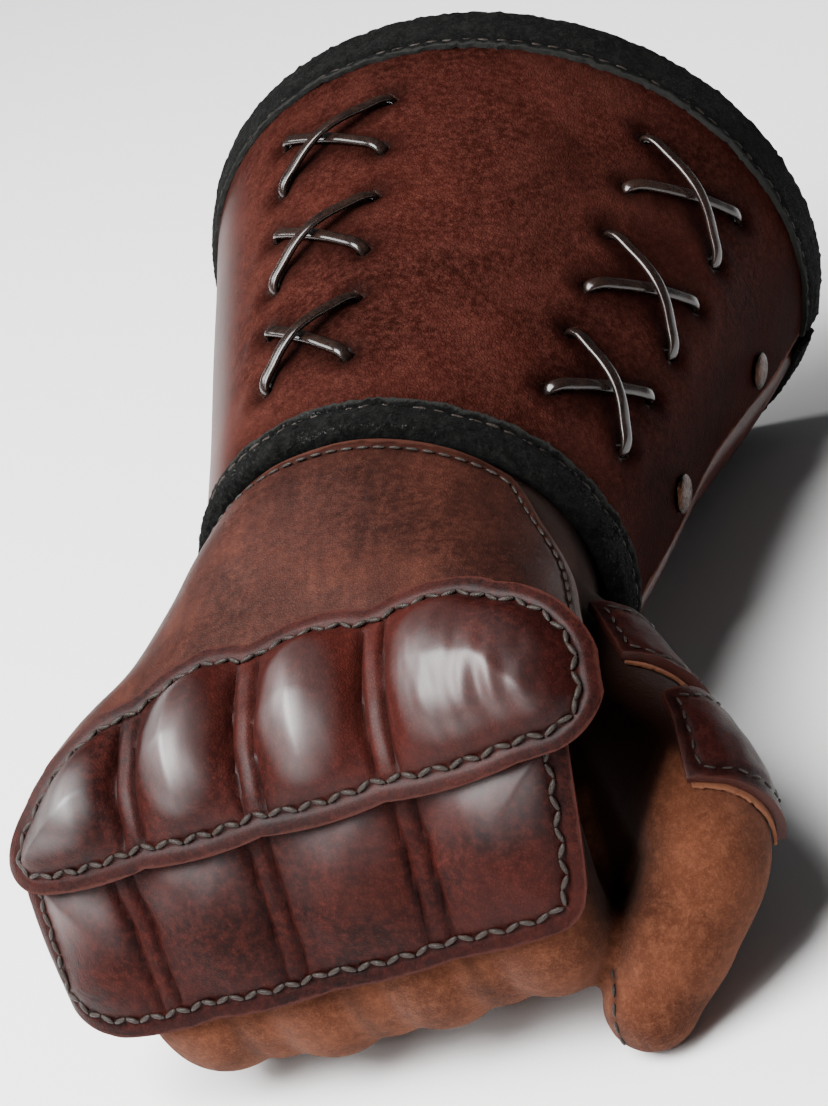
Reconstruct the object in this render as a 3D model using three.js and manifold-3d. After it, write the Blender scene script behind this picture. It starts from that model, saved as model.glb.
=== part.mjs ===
// A right-hand leather gauntlet, its hand closed in a fist, lying palm side down.
// Millimetres, +Z up. The forearm points along +Y and the knuckles along -Y.
import * as THREE from 'three';
import { mergeVertices } from 'three/addons/utils/BufferGeometryUtils.js';
import Module from 'manifold-3d';

const wasm = await Module();
wasm.setup();

// The gap that every piece keeps to the pieces beside it.
const GAP = 0.3;

// Flared forearm cuff: a rolled sheet, narrow at the wrist and wide at the rim.
const CUFF_LENGTH = 139.7;
const CUFF_WRIST_HALF_WIDTH = 45.9;
const CUFF_WRIST_HALF_DEPTH = 41.4;
const CUFF_RIM_HALF_WIDTH = 76.3;
const CUFF_RIM_HALF_DEPTH = 67.1;
const CUFF_RIM_RISE = 5.4;
// The palm side of the cuff is flatter than its back.
const CUFF_PALM_SHARE = 0.81;
const CUFF_WALL = 2.6;
// The cuff's lacing faces this far round towards the thumb from the back of the hand.
const CUFF_ROLL_DEG = 30;
// The sheet starts at the flap edge and ends in a tongue that lies under the flap.
const FLAP_EDGE_DEG = 90;
const TONGUE_OVERLAP_DEG = 25;
const TONGUE_INSET_RIM = 17;
const TONGUE_INSET_WRIST = 12;

// Folded suede bindings on both edges of the cuff.
const BINDING_THICK = 1.2;
const RIM_BINDING_OUTER_LEG = 12;
const RIM_BINDING_INNER_LEG = 9;
const WRIST_BINDING_OUTER_LEG = 7.5;
const WRIST_BINDING_INNER_LEG = 6;

// Lacing: two columns of three crosses, each cross two thongs.
const LACE_WIDTH = 3.2;
const LACE_THICK = 1.8;
const LACE_TAIL = 1.2;
// Middle of each cross, as a share of the cuff's length.
const LACE_ROWS = [0.7337, 0.4796, 0.2362];
const LACE_HALF_HEIGHT = 9.5;
const LACE_COLUMNS = [
  { side: 'left', innerDeg: -24.5, outerDeg: -49.5 },
  { side: 'right', innerDeg: 26.5, outerDeg: 52 },
];

// Rivets that close the flap over the tongue.
const RIVET_HEAD_RADIUS = 4.4;
const RIVET_HEAD_HEIGHT = 1.8;
const RIVET_SHANK_RADIUS = 1.3;
const RIVET_BURR = 1.2;
const RIVETS = [
  { place: 'wrist', deg: 78, share: 0.272 },
  { place: 'rim', deg: 81, share: 0.673 },
];

// Width of the gloved hand across the knuckles. The tables of the glove and of its plates
// hold shares of it, apart from those that are said to be something else.
const HAND_WIDTH = 110;

// Suede glove.
const GLOVE_WALL = 1.8;
const FINGER_PITCH = 26;
const LITTLE_FINGER_X = -47;
// Joint centres of a curled finger in its own plane, with the radius there.
const FINGER_JOINTS = [
  { y: -0.4727, z: 0.0727, radius: 0.1045 },
  { y: -0.6227, z: 0.0655, radius: 0.1282 },
  { y: -0.7, z: -0.1091, radius: 0.1209 },
  { y: -0.75, z: -0.2864, radius: 0.1182 },
  { y: -0.6545, z: -0.3455, radius: 0.1109 },
  { y: -0.5364, z: -0.3727, radius: 0.1082 },
  { y: -0.4818, z: -0.2909, radius: 0.1 },
  { y: -0.4545, z: -0.2273, radius: 0.0909 },
];
// How the four fingers differ from that finger: its size as a multiple, the lift of the middle
// joint, and how far the curled end leans towards the thumb.
const FINGERS = [
  { name: 'little', size: 0.98, lift: 0, inward: 0.0545 },
  { name: 'ring', size: 1.02, lift: -0.0218, inward: 0.0273 },
  { name: 'middle', size: 1.02, lift: -0.0182, inward: 0.0091 },
  { name: 'index', size: 1.0, lift: -0.0091, inward: -0.0091 },
];
// Sections through the back and palm of the glove, from inside the cuff to the knuckles.
const HAND_SECTIONS = [
  { y: 0.3273, x: 0, halfWidth: 0.3818, top: 0.3436, palm: 0.2855, power: 2.0, rollDeg: 30 },
  { y: 0.1273, x: 0, halfWidth: 0.3745, top: 0.3364, palm: 0.2709, power: 2.0, rollDeg: 30 },
  { y: 0, x: 0, halfWidth: 0.3673, top: 0.3309, palm: 0.26, power: 2.0, rollDeg: 30 },
  { y: -0.0818, x: -0.0045, halfWidth: 0.3855, top: 0.34, palm: 0.2545, power: 2.1, rollDeg: 22 },
  { y: -0.2182, x: -0.0091, halfWidth: 0.4145, top: 0.3127, palm: 0.2182, power: 2.3, rollDeg: 8 },
  { y: -0.3636, x: -0.0318, halfWidth: 0.4591, top: 0.2764, palm: 0.1636, power: 2.6, rollDeg: 0 },
  { y: -0.4909, x: -0.0636, halfWidth: 0.4964, top: 0.24, palm: 0.1091, power: 3.3, rollDeg: 0 },
  { y: -0.5727, x: -0.0727, halfWidth: 0.5018, top: 0.2145, palm: 0.0364, power: 4.4, rollDeg: 0 },
];
// Thumb joints, from the ball of the thumb to its tip.
const THUMB_JOINTS = [
  { x: 0.1455, y: -0.1091, z: -0.0818, radius: 0.1545 },
  { x: 0.2955, y: -0.2182, z: -0.1136, radius: 0.1509 },
  { x: 0.4273, y: -0.3955, z: -0.1455, radius: 0.1218 },
  { x: 0.5182, y: -0.5273, z: -0.2136, radius: 0.1164 },
  { x: 0.5455, y: -0.6364, z: -0.3, radius: 0.1164 },
  { x: 0.4636, y: -0.7273, z: -0.4, radius: 0.1091 },
  { x: 0.3818, y: -0.8, z: -0.4682, radius: 0.0909 },
];

// Leather plates: they lie this far over the form that carries them.
const PLATE_WALL = 2.2;
const PLATE_LIFT = 3 * GAP;

// Hand plate, from the wrist binding to its lower edge under the knuckle plate.
const HAND_PLATE_TOP_Y = -2.4;
const HAND_PLATE_LOW_Y = -62;
const HAND_PLATE_BOW = 3.5;
// Side edges of the hand plate, as shares of the hand's half width, along the plate's run.
const HAND_PLATE_EDGES = [
  { run: 0, left: -0.98, right: 0.50 },
  { run: 0.16, left: -0.995, right: 0.70 },
  { run: 0.4, left: -0.999, right: 0.925 },
  { run: 0.66, left: -0.9995, right: 0.985 },
  { run: 1, left: -0.9999, right: 0.99 },
];

// Fall of the knuckle and finger plates from the middle of the fist towards its sides.
const FIST_MIDDLE_X = -4;
const FIST_HALF_WIDTH = 66;
const FIST_SIDE_DROP = 16;
const FIST_SIDE_POWER = 3;

// Knuckle plate: its side edges, its upper and lower edges measured along its profile, how far
// the upper edge follows the humps, and its corners. A corner takes a rounded fall off the edge,
// and a slope that runs down evenly to the side.
const KNUCKLE_LEFT_X = -67;
const KNUCKLE_RIGHT_X = 62;
const KNUCKLE_UPPER = 10;
const KNUCKLE_LOWER = 49;
const KNUCKLE_UPPER_SCALLOP = 3;
const KNUCKLE_LOWER_SCALLOP = 1;
const KNUCKLE_HUMP = 4.2;
const KNUCKLE_CORNERS = {
  upperLeft: { reach: 0.4545, fall: 0.2182, slope: 0.0818 },
  upperRight: { reach: 0.2182, fall: 0.1818 },
  lowerLeft: { reach: 0.0818, fall: 0.0818 },
  lowerRight: { reach: 0.0909, fall: 0.0818 },
};

// Finger plate, in the same way. Its side edges slant: each has an upper and a lower place.
const FINGER_LEFT_X = [-65.5, -70];
const FINGER_RIGHT_X = [54, 46];
const FINGER_UPPER = 5;
const FINGER_LOWER = 43.5;
const FINGER_LOWER_SCALLOP = 0.8;
const FINGER_HUMP = 1.4;
const FINGER_CORNERS = {
  lowerLeft: { reach: 0.1364, fall: 0.1273 },
  lowerRight: { reach: 0.0636, fall: 0.0636 },
};
// Inner face of the knuckle plate in the middle plane, from its upper to its lower edge.
const KNUCKLE_PROFILE = [
  { y: -0.4364, z: 0.2927 },
  { y: -0.5091, z: 0.2727 },
  { y: -0.5909, z: 0.2491 },
  { y: -0.6727, z: 0.2182 },
  { y: -0.75, z: 0.1691 },
  { y: -0.8055, z: 0.0955 },
  { y: -0.8364, z: 0.0136 },
];
// Inner face of the finger plate in the middle plane.
const FINGER_PROFILE = [
  { y: -0.74, z: 0.1545 },
  { y: -0.7791, z: 0.0818 },
  { y: -0.8227, z: -0.0545 },
  { y: -0.8564, z: -0.1727 },
  { y: -0.8818, z: -0.2818 },
];

// Thumb plates: places along the thumb as shares of its run, and angles round its back, at the
// lower edge. The lower edge of each runs slantwise, from its left to its right end.
const THUMB_UPPER_PLATE = { from: 0.24, to: [0.43, 0.34], leftDeg: -58, rightDeg: [12, 15] };
const THUMB_LOWER_PLATE = { from: 0.437, to: [0.66, 0.58], leftDeg: -66, rightDeg: [11, 34] };

// Pose in which the gauntlet lies by itself, on the rim, the little finger and the thumb: turned
// from the hand's own frame about the forearm, then about the row of knuckles.
const REST_ROLL_DEG = -5.97;
const REST_TILT_DEG = -0.42;
// Leather and suede give this much where they lie on the surface.
const REST_FLATTEN = 0.7;

const rad = THREE.MathUtils.degToRad;
const lerp = THREE.MathUtils.lerp;
const clamp = THREE.MathUtils.clamp;
const smooth = (t) => {
  const c = clamp(t, 0, 1);
  return c * c * (3 - 2 * c);
};

// Value of one column of a table at a given place, with smooth joins between its rows.
function tableValue(rows, key, column, at) {
  const order = rows[0][key] < rows[rows.length - 1][key] ? 1 : -1;
  let i = 0;
  while (i < rows.length - 2 && (rows[i + 1][key] - at) * order < 0) {
    i += 1;
  }
  const span = rows[i + 1][key] - rows[i][key];
  const t = clamp((at - rows[i][key]) / span, 0, 1);
  const slope = (j) => {
    const a = rows[Math.max(j - 1, 0)];
    const b = rows[Math.min(j + 1, rows.length - 1)];
    return (b[column] - a[column]) / (b[key] - a[key]);
  };
  const m0 = slope(i) * span;
  const m1 = slope(i + 1) * span;
  const t2 = t * t;
  const t3 = t2 * t;
  return (2 * t3 - 3 * t2 + 1) * rows[i][column] + (t3 - 2 * t2 + t) * m0
    + (3 * t2 - 2 * t3) * rows[i + 1][column] + (t3 - t2) * m1;
}

// Whether a flat outline runs to the left, so that its filling can face with its ring's walls.
const outlineIsLeft = (outline) => THREE.ShapeUtils.area(outline) > 0;

// Closed mesh from a list of points and triangles, turned so that its faces look out.
function closedMesh(points, faces) {
  let volume = 0;
  for (const [a, b, c] of faces) {
    volume += points[a].dot(new THREE.Vector3().crossVectors(points[b], points[c]));
  }
  const indices = [];
  for (const [a, b, c] of faces) {
    if (volume > 0) {
      indices.push(a, b, c);
    } else {
      indices.push(a, c, b);
    }
  }
  const geometry = new THREE.BufferGeometry();
  const positions = new Float32Array(points.length * 3);
  points.forEach((p, i) => p.toArray(positions, i * 3));
  geometry.setAttribute('position', new THREE.BufferAttribute(positions, 3));
  geometry.setIndex(indices);
  return geometry;
}

// Solid through a row of rings with equal point counts, its two ends filled. A ring that is
// not bulging all round comes with its flat outline, for the filling.
function loft(rings, outline) {
  const count = rings[0].length;
  const points = rings.flat();
  const faces = [];
  for (let i = 0; i < rings.length - 1; i += 1) {
    for (let j = 0; j < count; j += 1) {
      const k = (j + 1) % count;
      const a = i * count + j;
      const b = i * count + k;
      faces.push([a, b, b + count]);
      faces.push([a, b + count, a + count]);
    }
  }
  for (const [row, flip] of [[0, true], [rings.length - 1, false]]) {
    if (outline) {
      for (const corners of THREE.ShapeUtils.triangulateShape(outline, [])) {
        const [a, b, c] = corners.map((j) => row * count + j);
        faces.push(flip === outlineIsLeft(outline) ? [a, c, b] : [a, b, c]);
      }
      continue;
    }
    const middle = new THREE.Vector3();
    rings[row].forEach((p) => middle.addScaledVector(p, 1 / count));
    const centre = points.push(middle) - 1;
    for (let j = 0; j < count; j += 1) {
      const a = row * count + j;
      const b = row * count + (j + 1) % count;
      faces.push(flip ? [centre, b, a] : [centre, a, b]);
    }
  }
  return closedMesh(points, faces);
}

// Sheet of even thickness: place(u, v, h) gives the point at height h over the sheet's floor.
function sheet(place, across, along, low, high) {
  const points = [];
  const index = (layer, i, j) => (layer * (across + 1) + i) * (along + 1) + j;
  for (const h of [low, high]) {
    for (let i = 0; i <= across; i += 1) {
      for (let j = 0; j <= along; j += 1) {
        points.push(place(i / across, j / along, h));
      }
    }
  }
  const faces = [];
  for (let i = 0; i < across; i += 1) {
    for (let j = 0; j < along; j += 1) {
      faces.push([index(1, i, j), index(1, i + 1, j), index(1, i + 1, j + 1)]);
      faces.push([index(1, i, j), index(1, i + 1, j + 1), index(1, i, j + 1)]);
      faces.push([index(0, i, j), index(0, i + 1, j + 1), index(0, i + 1, j)]);
      faces.push([index(0, i, j), index(0, i, j + 1), index(0, i + 1, j + 1)]);
    }
  }
  const wall = (i0, j0, i1, j1) => {
    faces.push([index(0, i0, j0), index(0, i1, j1), index(1, i1, j1)]);
    faces.push([index(0, i0, j0), index(1, i1, j1), index(1, i0, j0)]);
  };
  for (let i = 0; i < across; i += 1) {
    wall(i, 0, i + 1, 0);
    wall(i + 1, along, i, along);
  }
  for (let j = 0; j < along; j += 1) {
    wall(0, j + 1, 0, j);
    wall(across, j, across, j + 1);
  }
  return closedMesh(points, faces);
}

// Table of shares turned into lengths; the named columns stay as they are.
const sized = (rows, size, kept = []) => rows.map((row) => Object.fromEntries(
  Object.entries(row).map(([key, value]) => [key, kept.includes(key) ? value : value * size])));

// Smooth curve through joints, and the radius along it.
function jointCurve(joints) {
  const curve = new THREE.CatmullRomCurve3(
    joints.map((j) => new THREE.Vector3(j.x, j.y, j.z)), false, 'centripetal');
  const radiusAt = (t) => {
    const place = t * (joints.length - 1);
    const i = Math.min(Math.floor(place), joints.length - 2);
    return lerp(joints[i].radius, joints[i + 1].radius, smooth(place - i));
  };
  return { curve, radiusAt };
}

// Round tube along joints, closed by domed ends; wall is taken off its radius.
function tube(joints, side, steps, segments, wall) {
  const { curve, radiusAt } = jointCurve(joints);
  const rings = [];
  const ring = (t, shrink, shift) => {
    const centre = curve.getPoint(t);
    const ahead = curve.getTangent(t);
    const across = side.clone().addScaledVector(ahead, -side.dot(ahead)).normalize();
    const up = new THREE.Vector3().crossVectors(ahead, across);
    const radius = radiusAt(t) - wall;
    const points = [];
    for (let i = 0; i < segments; i += 1) {
      const a = (i + 0.5) / segments * Math.PI * 2;
      points.push(centre.clone()
        .addScaledVector(ahead, shift * radius)
        .addScaledVector(across, Math.cos(a) * radius * shrink)
        .addScaledVector(up, Math.sin(a) * radius * shrink));
    }
    rings.push(points);
  };
  [75, 45].forEach((deg) => ring(0, Math.cos(rad(deg)), -Math.sin(rad(deg))));
  for (let i = 0; i <= steps; i += 1) {
    ring(i / steps, 1, 0);
  }
  [30, 55, 78].forEach((deg) => ring(1, Math.cos(rad(deg)), Math.sin(rad(deg))));
  return loft(rings);
}

// Solids for merging and cutting.
function toSolid(geometry) {
  const position = geometry.getAttribute('position');
  return new wasm.Manifold(new wasm.Mesh({
    numProp: 3,
    vertProperties: new Float32Array(position.array),
    triVerts: new Uint32Array(geometry.getIndex().array),
  }));
}

function toGeometry(solid) {
  const mesh = solid.getMesh();
  const positions = new Float32Array(mesh.numVert * 3);
  for (let i = 0; i < mesh.numVert; i += 1) {
    for (let k = 0; k < 3; k += 1) {
      positions[i * 3 + k] = mesh.vertProperties[i * mesh.numProp + k];
    }
  }
  const geometry = new THREE.BufferGeometry();
  geometry.setAttribute('position', new THREE.BufferAttribute(positions, 3));
  geometry.setIndex(Array.from(mesh.triVerts));
  return geometry;
}

const unite = (geometries) => geometries.map(toSolid).reduce((a, b) => a.add(b));

const gauntlet = new THREE.Group();
gauntlet.name = 'leather_gauntlet';

// Each piece is turned from the hand's own frame into the pose in which the gauntlet lies.
const restTurn = new THREE.Matrix4().makeRotationX(rad(REST_TILT_DEG))
  .multiply(new THREE.Matrix4().makeRotationY(rad(REST_ROLL_DEG)));

function addPiece(name, geometry, finish) {
  const mesh = new THREE.Mesh(
    geometry.applyMatrix4(restTurn), new THREE.MeshStandardMaterial(finish));
  mesh.name = name;
  gauntlet.add(mesh);
}

const CUFF_LEATHER = { color: 0x5a2a1c, roughness: 0.45, metalness: 0 };
const PLATE_LEATHER = { color: 0x43201a, roughness: 0.35, metalness: 0 };
const HAND_LEATHER = { color: 0x4a2a1e, roughness: 0.5, metalness: 0 };
const BROWN_SUEDE = { color: 0x6b3f28, roughness: 0.95, metalness: 0 };
const BLACK_SUEDE = { color: 0x1c1a19, roughness: 0.95, metalness: 0 };
const LACE_LEATHER = { color: 0x2a1714, roughness: 0.35, metalness: 0 };
const RIVET_METAL = { color: 0x5f3f22, roughness: 0.4, metalness: 1 };

// Point on the cuff: angle from the lacing's middle line towards the thumb, distance from the
// wrist edge, and height over the outer face.
function cuffPoint(deg, y, height) {
  const t = y / CUFF_LENGTH;
  const s = Math.sin(rad(deg));
  const c = Math.cos(rad(deg));
  const share = c < 0 ? CUFF_PALM_SHARE : 1;
  const a = lerp(CUFF_WRIST_HALF_WIDTH, CUFF_RIM_HALF_WIDTH, t);
  const b = lerp(CUFF_WRIST_HALF_DEPTH, CUFF_RIM_HALF_DEPTH, t) * share;
  const out = new THREE.Vector3(s / a, 0, c / b).normalize();
  const flareX = (CUFF_RIM_HALF_WIDTH - CUFF_WRIST_HALF_WIDTH) * s;
  const flareZ = (CUFF_RIM_HALF_DEPTH - CUFF_WRIST_HALF_DEPTH) * share * c + CUFF_RIM_RISE;
  out.y = -(out.x * flareX + out.z * flareZ) / CUFF_LENGTH;
  return new THREE.Vector3(a * s, y, CUFF_RIM_RISE * t + b * c)
    .addScaledVector(out.normalize(), height)
    .applyAxisAngle(new THREE.Vector3(0, 1, 0), rad(CUFF_ROLL_DEG));
}

// Angles of the sheet's steps: the open run, which the bindings share, then the tongue.
const OPEN_RUN = Array.from({ length: 37 }, (_, i) => FLAP_EDGE_DEG - 351 * i / 36);
const TONGUE_RUN = [353, 355, 357, 359, 363, 368, 374, 380, 360 + TONGUE_OVERLAP_DEG]
  .map((turn) => FLAP_EDGE_DEG - turn);
const SHEET_RUN = [...OPEN_RUN, ...TONGUE_RUN];
// How far the sheet has gone under the flap: 0 on the open run, 1 on the tongue.
const tongueShare = (deg) => smooth((FLAP_EDGE_DEG - 352 - deg) / 6);

function cuffSheetPoint(u, v, height) {
  const deg = SHEET_RUN[Math.round(u * (SHEET_RUN.length - 1))];
  const under = tongueShare(deg);
  const low = TONGUE_INSET_WRIST * under;
  const high = CUFF_LENGTH - TONGUE_INSET_RIM * under;
  return cuffPoint(deg, lerp(low, high, v), height - (CUFF_WALL + 2 * GAP) * under);
}

const cuffSheet = sheet(cuffSheetPoint, SHEET_RUN.length - 1, 2, -CUFF_WALL, 0);

// Folded binding round an edge: its section is carried from the flap edge round to the tongue.
function binding(edgeY, sign, outerLeg, innerLeg) {
  const thick = BINDING_THICK;
  const outside = GAP;
  const inside = -CUFF_WALL - GAP;
  const section = [
    [-outerLeg, outside], [-outerLeg, outside + thick], [0, outside + thick],
    [GAP + thick, outside], [GAP + thick, inside], [0, inside - thick],
    [-innerLeg, inside - thick], [-innerLeg, inside], [GAP, inside], [GAP, outside],
  ];
  const outline = section.map(([along, height]) => new THREE.Vector2(along, height));
  return loft(OPEN_RUN.map((deg) => section.map(
    ([along, height]) => cuffPoint(deg, edgeY + sign * along, height))), outline);
}

// Thong from one slit to another over the cuff, each end through the wall.
function thong(from, to, lift) {
  const half = LACE_WIDTH / 2;
  const thick = LACE_THICK / 2;
  const rise = GAP + LACE_THICK / 2;
  const start = cuffPoint(from.deg, from.y, 0);
  const finish = cuffPoint(to.deg, to.y, 0);
  const sideAt = (t) => {
    const deg = lerp(from.deg, to.deg, t);
    const y = lerp(from.y, to.y, t);
    const normal = cuffPoint(deg, y, 1).sub(cuffPoint(deg, y, 0)).normalize();
    const ahead = finish.clone().sub(start);
    return new THREE.Vector3().crossVectors(ahead, normal).normalize();
  };
  const spine = [];
  const tail = -CUFF_WALL - LACE_TAIL;
  const run = (t, height) => {
    const deg = lerp(from.deg, to.deg, t);
    const y = lerp(from.y, to.y, t);
    spine.push({ t, at: cuffPoint(deg, y, height) });
  };
  run(0, tail);
  run(0, GAP);
  run(0.08, rise + GAP / 2);
  [0.27, 0.5, 0.73].forEach((t) => run(t, rise + lift * Math.sin(Math.PI * t) ** 2));
  run(0.92, rise + GAP / 2);
  run(1, GAP);
  run(1, tail);
  const rings = spine.map((link, i) => {
    const before = spine[Math.max(i - 1, 0)].at;
    const after = spine[Math.min(i + 1, spine.length - 1)].at;
    const ahead = after.clone().sub(before).normalize();
    const side = sideAt(link.t);
    const up = new THREE.Vector3().crossVectors(side, ahead).normalize();
    const points = [];
    for (const [p, q] of [[-1, 0], [-0.6, 0.9], [0.6, 0.9], [1, 0], [0.6, -0.9], [-0.6, -0.9]]) {
      points.push(link.at.clone().addScaledVector(side, p * half).addScaledVector(up, q * thick));
    }
    return points;
  });
  return loft(rings);
}

const laces = [];
for (const column of LACE_COLUMNS) {
  LACE_ROWS.forEach((share, row) => {
    const y = share * CUFF_LENGTH;
    const high = y + LACE_HALF_HEIGHT;
    const low = y - LACE_HALF_HEIGHT;
    const name = `lace_${column.side}_${row + 1}`;
    const over = [{ deg: column.innerDeg, y: high }, { deg: column.outerDeg, y: low }];
    const under = [{ deg: column.outerDeg, y: high }, { deg: column.innerDeg, y: low }];
    laces.push({ name: `${name}_over`, ends: over, lift: 1.6 * LACE_THICK });
    laces.push({ name: `${name}_under`, ends: under, lift: 0 });
  });
}

// Slit in the cuff for the end of a thong.
function slit(end, other) {
  const centre = cuffPoint(end.deg, end.y, 0);
  const out = cuffPoint(end.deg, end.y, 1).sub(centre).normalize();
  const ahead = cuffPoint(other.deg, other.y, 0).sub(centre);
  ahead.addScaledVector(out, -ahead.dot(out)).normalize();
  const side = new THREE.Vector3().crossVectors(ahead, out).normalize();
  const half = LACE_WIDTH / 2 + GAP;
  const back = LACE_THICK / 2 + GAP;
  const front = back + LACE_THICK / 2;
  return loft([-1.6 * CUFF_WALL, 0.6 * CUFF_WALL].map((height) => [
    [-half, -back], [half, -back], [half, front], [-half, front],
  ].map(([p, q]) => centre.clone().addScaledVector(out, height)
    .addScaledVector(side, p).addScaledVector(ahead, q))));
}

// Rivet: domed head outside, shank through flap and tongue, flat burr inside.
function rivet(deg, y, grow) {
  const centre = cuffPoint(deg, y, 0);
  const out = cuffPoint(deg, y, 1).sub(centre).normalize();
  const side = new THREE.Vector3(0, 1, 0).addScaledVector(out, -out.y).normalize();
  const up = new THREE.Vector3().crossVectors(out, side);
  const inside = -2 * CUFF_WALL - 2 * GAP;
  const profile = grow > 0
    ? [inside - RIVET_BURR, CUFF_WALL].map((height) => [height, RIVET_SHANK_RADIUS + grow])
    : [
      [inside - 2 * RIVET_BURR, RIVET_HEAD_RADIUS * 0.6],
      [inside - RIVET_BURR, RIVET_HEAD_RADIUS * 0.7],
      [inside - 0.95 * RIVET_BURR, RIVET_SHANK_RADIUS], [1.5 * GAP, RIVET_SHANK_RADIUS],
      [1.7 * GAP, RIVET_HEAD_RADIUS], [RIVET_HEAD_HEIGHT * 0.7, RIVET_HEAD_RADIUS * 0.85],
      [RIVET_HEAD_HEIGHT, RIVET_HEAD_RADIUS * 0.4],
    ];
  const rings = profile.map(([height, radius]) => {
    const points = [];
    for (let i = 0; i < 12; i += 1) {
      const a = i / 12 * Math.PI * 2;
      points.push(centre.clone().addScaledVector(out, height)
        .addScaledVector(side, Math.cos(a) * radius).addScaledVector(up, Math.sin(a) * radius));
    }
    return points;
  });
  return loft(rings);
}

let cuffSolid = toSolid(cuffSheet);
for (const lace of laces) {
  for (const end of lace.ends) {
    const other = lace.ends[lace.ends[0] === end ? 1 : 0];
    cuffSolid = cuffSolid.subtract(toSolid(slit(end, other)));
  }
}
for (const { deg, share } of RIVETS) {
  cuffSolid = cuffSolid.subtract(toSolid(rivet(deg, share * CUFF_LENGTH, GAP)));
}

const handSections = sized(HAND_SECTIONS, HAND_WIDTH, ['power', 'rollDeg']);
const section = (column, y) => tableValue(handSections, 'y', column, y);

// Point on the hand part of the glove: angle round it from the middle of its back towards the
// thumb, and height over its outer face.
function handPoint(angle, y, height) {
  const power = 2 / section('power', y);
  const bow = (value) => Math.sign(value) * Math.abs(value) ** power;
  const halfWidth = section('halfWidth', y);
  const depth = (a) => (Math.cos(a) >= 0 ? section('top', y) : section('palm', y));
  const at = (a) => new THREE.Vector2(
    halfWidth * bow(Math.sin(a)), depth(a) * bow(Math.cos(a)));
  const here = at(angle);
  const along = at(angle + 0.02).sub(at(angle - 0.02)).normalize();
  here.x -= along.y * height;
  here.y += along.x * height;
  const roll = rad(section('rollDeg', y));
  return new THREE.Vector3(
    section('x', y) + here.x * Math.cos(roll) + here.y * Math.sin(roll), y,
    -here.x * Math.sin(roll) + here.y * Math.cos(roll));
}

function handBody(wall, rows, segments) {
  const first = handSections[0].y + 2 * wall;
  const last = handSections[handSections.length - 1].y + wall;
  const rings = [];
  for (let i = 0; i <= rows; i += 1) {
    const y = lerp(first, last, i / rows);
    const points = [];
    for (let j = 0; j < segments; j += 1) {
      points.push(handPoint((j + 0.5) / segments * Math.PI * 2, y, -wall));
    }
    rings.push(points);
  }
  return loft(rings);
}

const fingerShape = sized(FINGER_JOINTS, HAND_WIDTH);
const fingerKinds = sized(FINGERS, HAND_WIDTH, ['name', 'size']);
const thumbJoints = sized(THUMB_JOINTS, HAND_WIDTH);

function fingerJoints(index) {
  const finger = fingerKinds[index];
  const x = LITTLE_FINGER_X + FINGER_PITCH * index;
  return fingerShape.map((joint, i) => ({
    x: x + finger.inward * smooth((i - 1) / 2.5),
    y: joint.y,
    z: joint.z + finger.lift * Math.max(1 - Math.abs(i - 3) / 2, 0),
    radius: joint.radius * finger.size,
  }));
}

const FINGER_SIDE = new THREE.Vector3(1, 0, 0);
const THUMB_SIDE = new THREE.Vector3(0.55, -0.5, 0.66).normalize();

function gloveForm(wall, detail) {
  const forms = [handBody(wall, detail.rows, detail.round)];
  FINGERS.forEach((finger, index) => {
    forms.push(tube(fingerJoints(index), FINGER_SIDE, detail.steps, detail.sides, wall));
  });
  forms.push(tube(thumbJoints, THUMB_SIDE, detail.steps, detail.sides, wall));
  return unite(forms);
}

const gloveSolid = gloveForm(0, { rows: 10, round: 30, steps: 9, sides: 12 })
  .subtract(gloveForm(GLOVE_WALL, { rows: 7, round: 20, steps: 9, sides: 12 }));

// Curve in the middle plane of the hand with places measured in millimetres from its start.
function profileCurve(rows) {
  const curve = new THREE.SplineCurve(rows.map((r) => new THREE.Vector2(r.y, r.z)));
  const length = curve.getLength();
  return (distance) => {
    const t = clamp(distance / length, 0, 1);
    const point = curve.getPointAt(t);
    const ahead = curve.getTangentAt(t);
    point.addScaledVector(ahead, distance - t * length);
    return { point, out: new THREE.Vector2(ahead.y, -ahead.x), length };
  };
}

const FIST_LEFT_X = LITTLE_FINGER_X - FINGER_PITCH / 2;

// How far a plate sinks towards the sides of the fist.
const sideDrop = (x) => {
  const share = Math.min(Math.abs((x - FIST_MIDDLE_X) / FIST_HALF_WIDTH), 1);
  return FIST_SIDE_DROP * (1 - (1 - share ** FIST_SIDE_POWER) ** (1 / FIST_SIDE_POWER));
};

// Distance that a rounded corner takes off an edge at x: the corner's reach along x, and its fall.
const corner = (x, end, { reach, fall, slope = 0 }) => {
  const into = clamp(1 - (Math.abs(end - x) + GAP) / (reach * HAND_WIDTH), 0, 1);
  return HAND_WIDTH * (fall * (1 - Math.sqrt(1 - into * into)) + slope * into);
};

// Bulge over each finger, nought in the creases between them.
const hump = (x) => {
  const finger = (x - FIST_LEFT_X) / FINGER_PITCH;
  return finger < 0 || finger > 4 ? 0 : Math.abs(Math.sin(Math.PI * finger)) ** 0.75;
};

const knuckleProfile = profileCurve(sized(KNUCKLE_PROFILE, HAND_WIDTH));
const fingerProfile = profileCurve(sized(FINGER_PROFILE, HAND_WIDTH));

const platePoint = (profile, x, distance, lift) => {
  const at = profile(distance);
  const rise = lift - sideDrop(x);
  return new THREE.Vector3(
    x, at.point.x + at.out.x * rise, at.point.y + at.out.y * rise);
};

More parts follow.
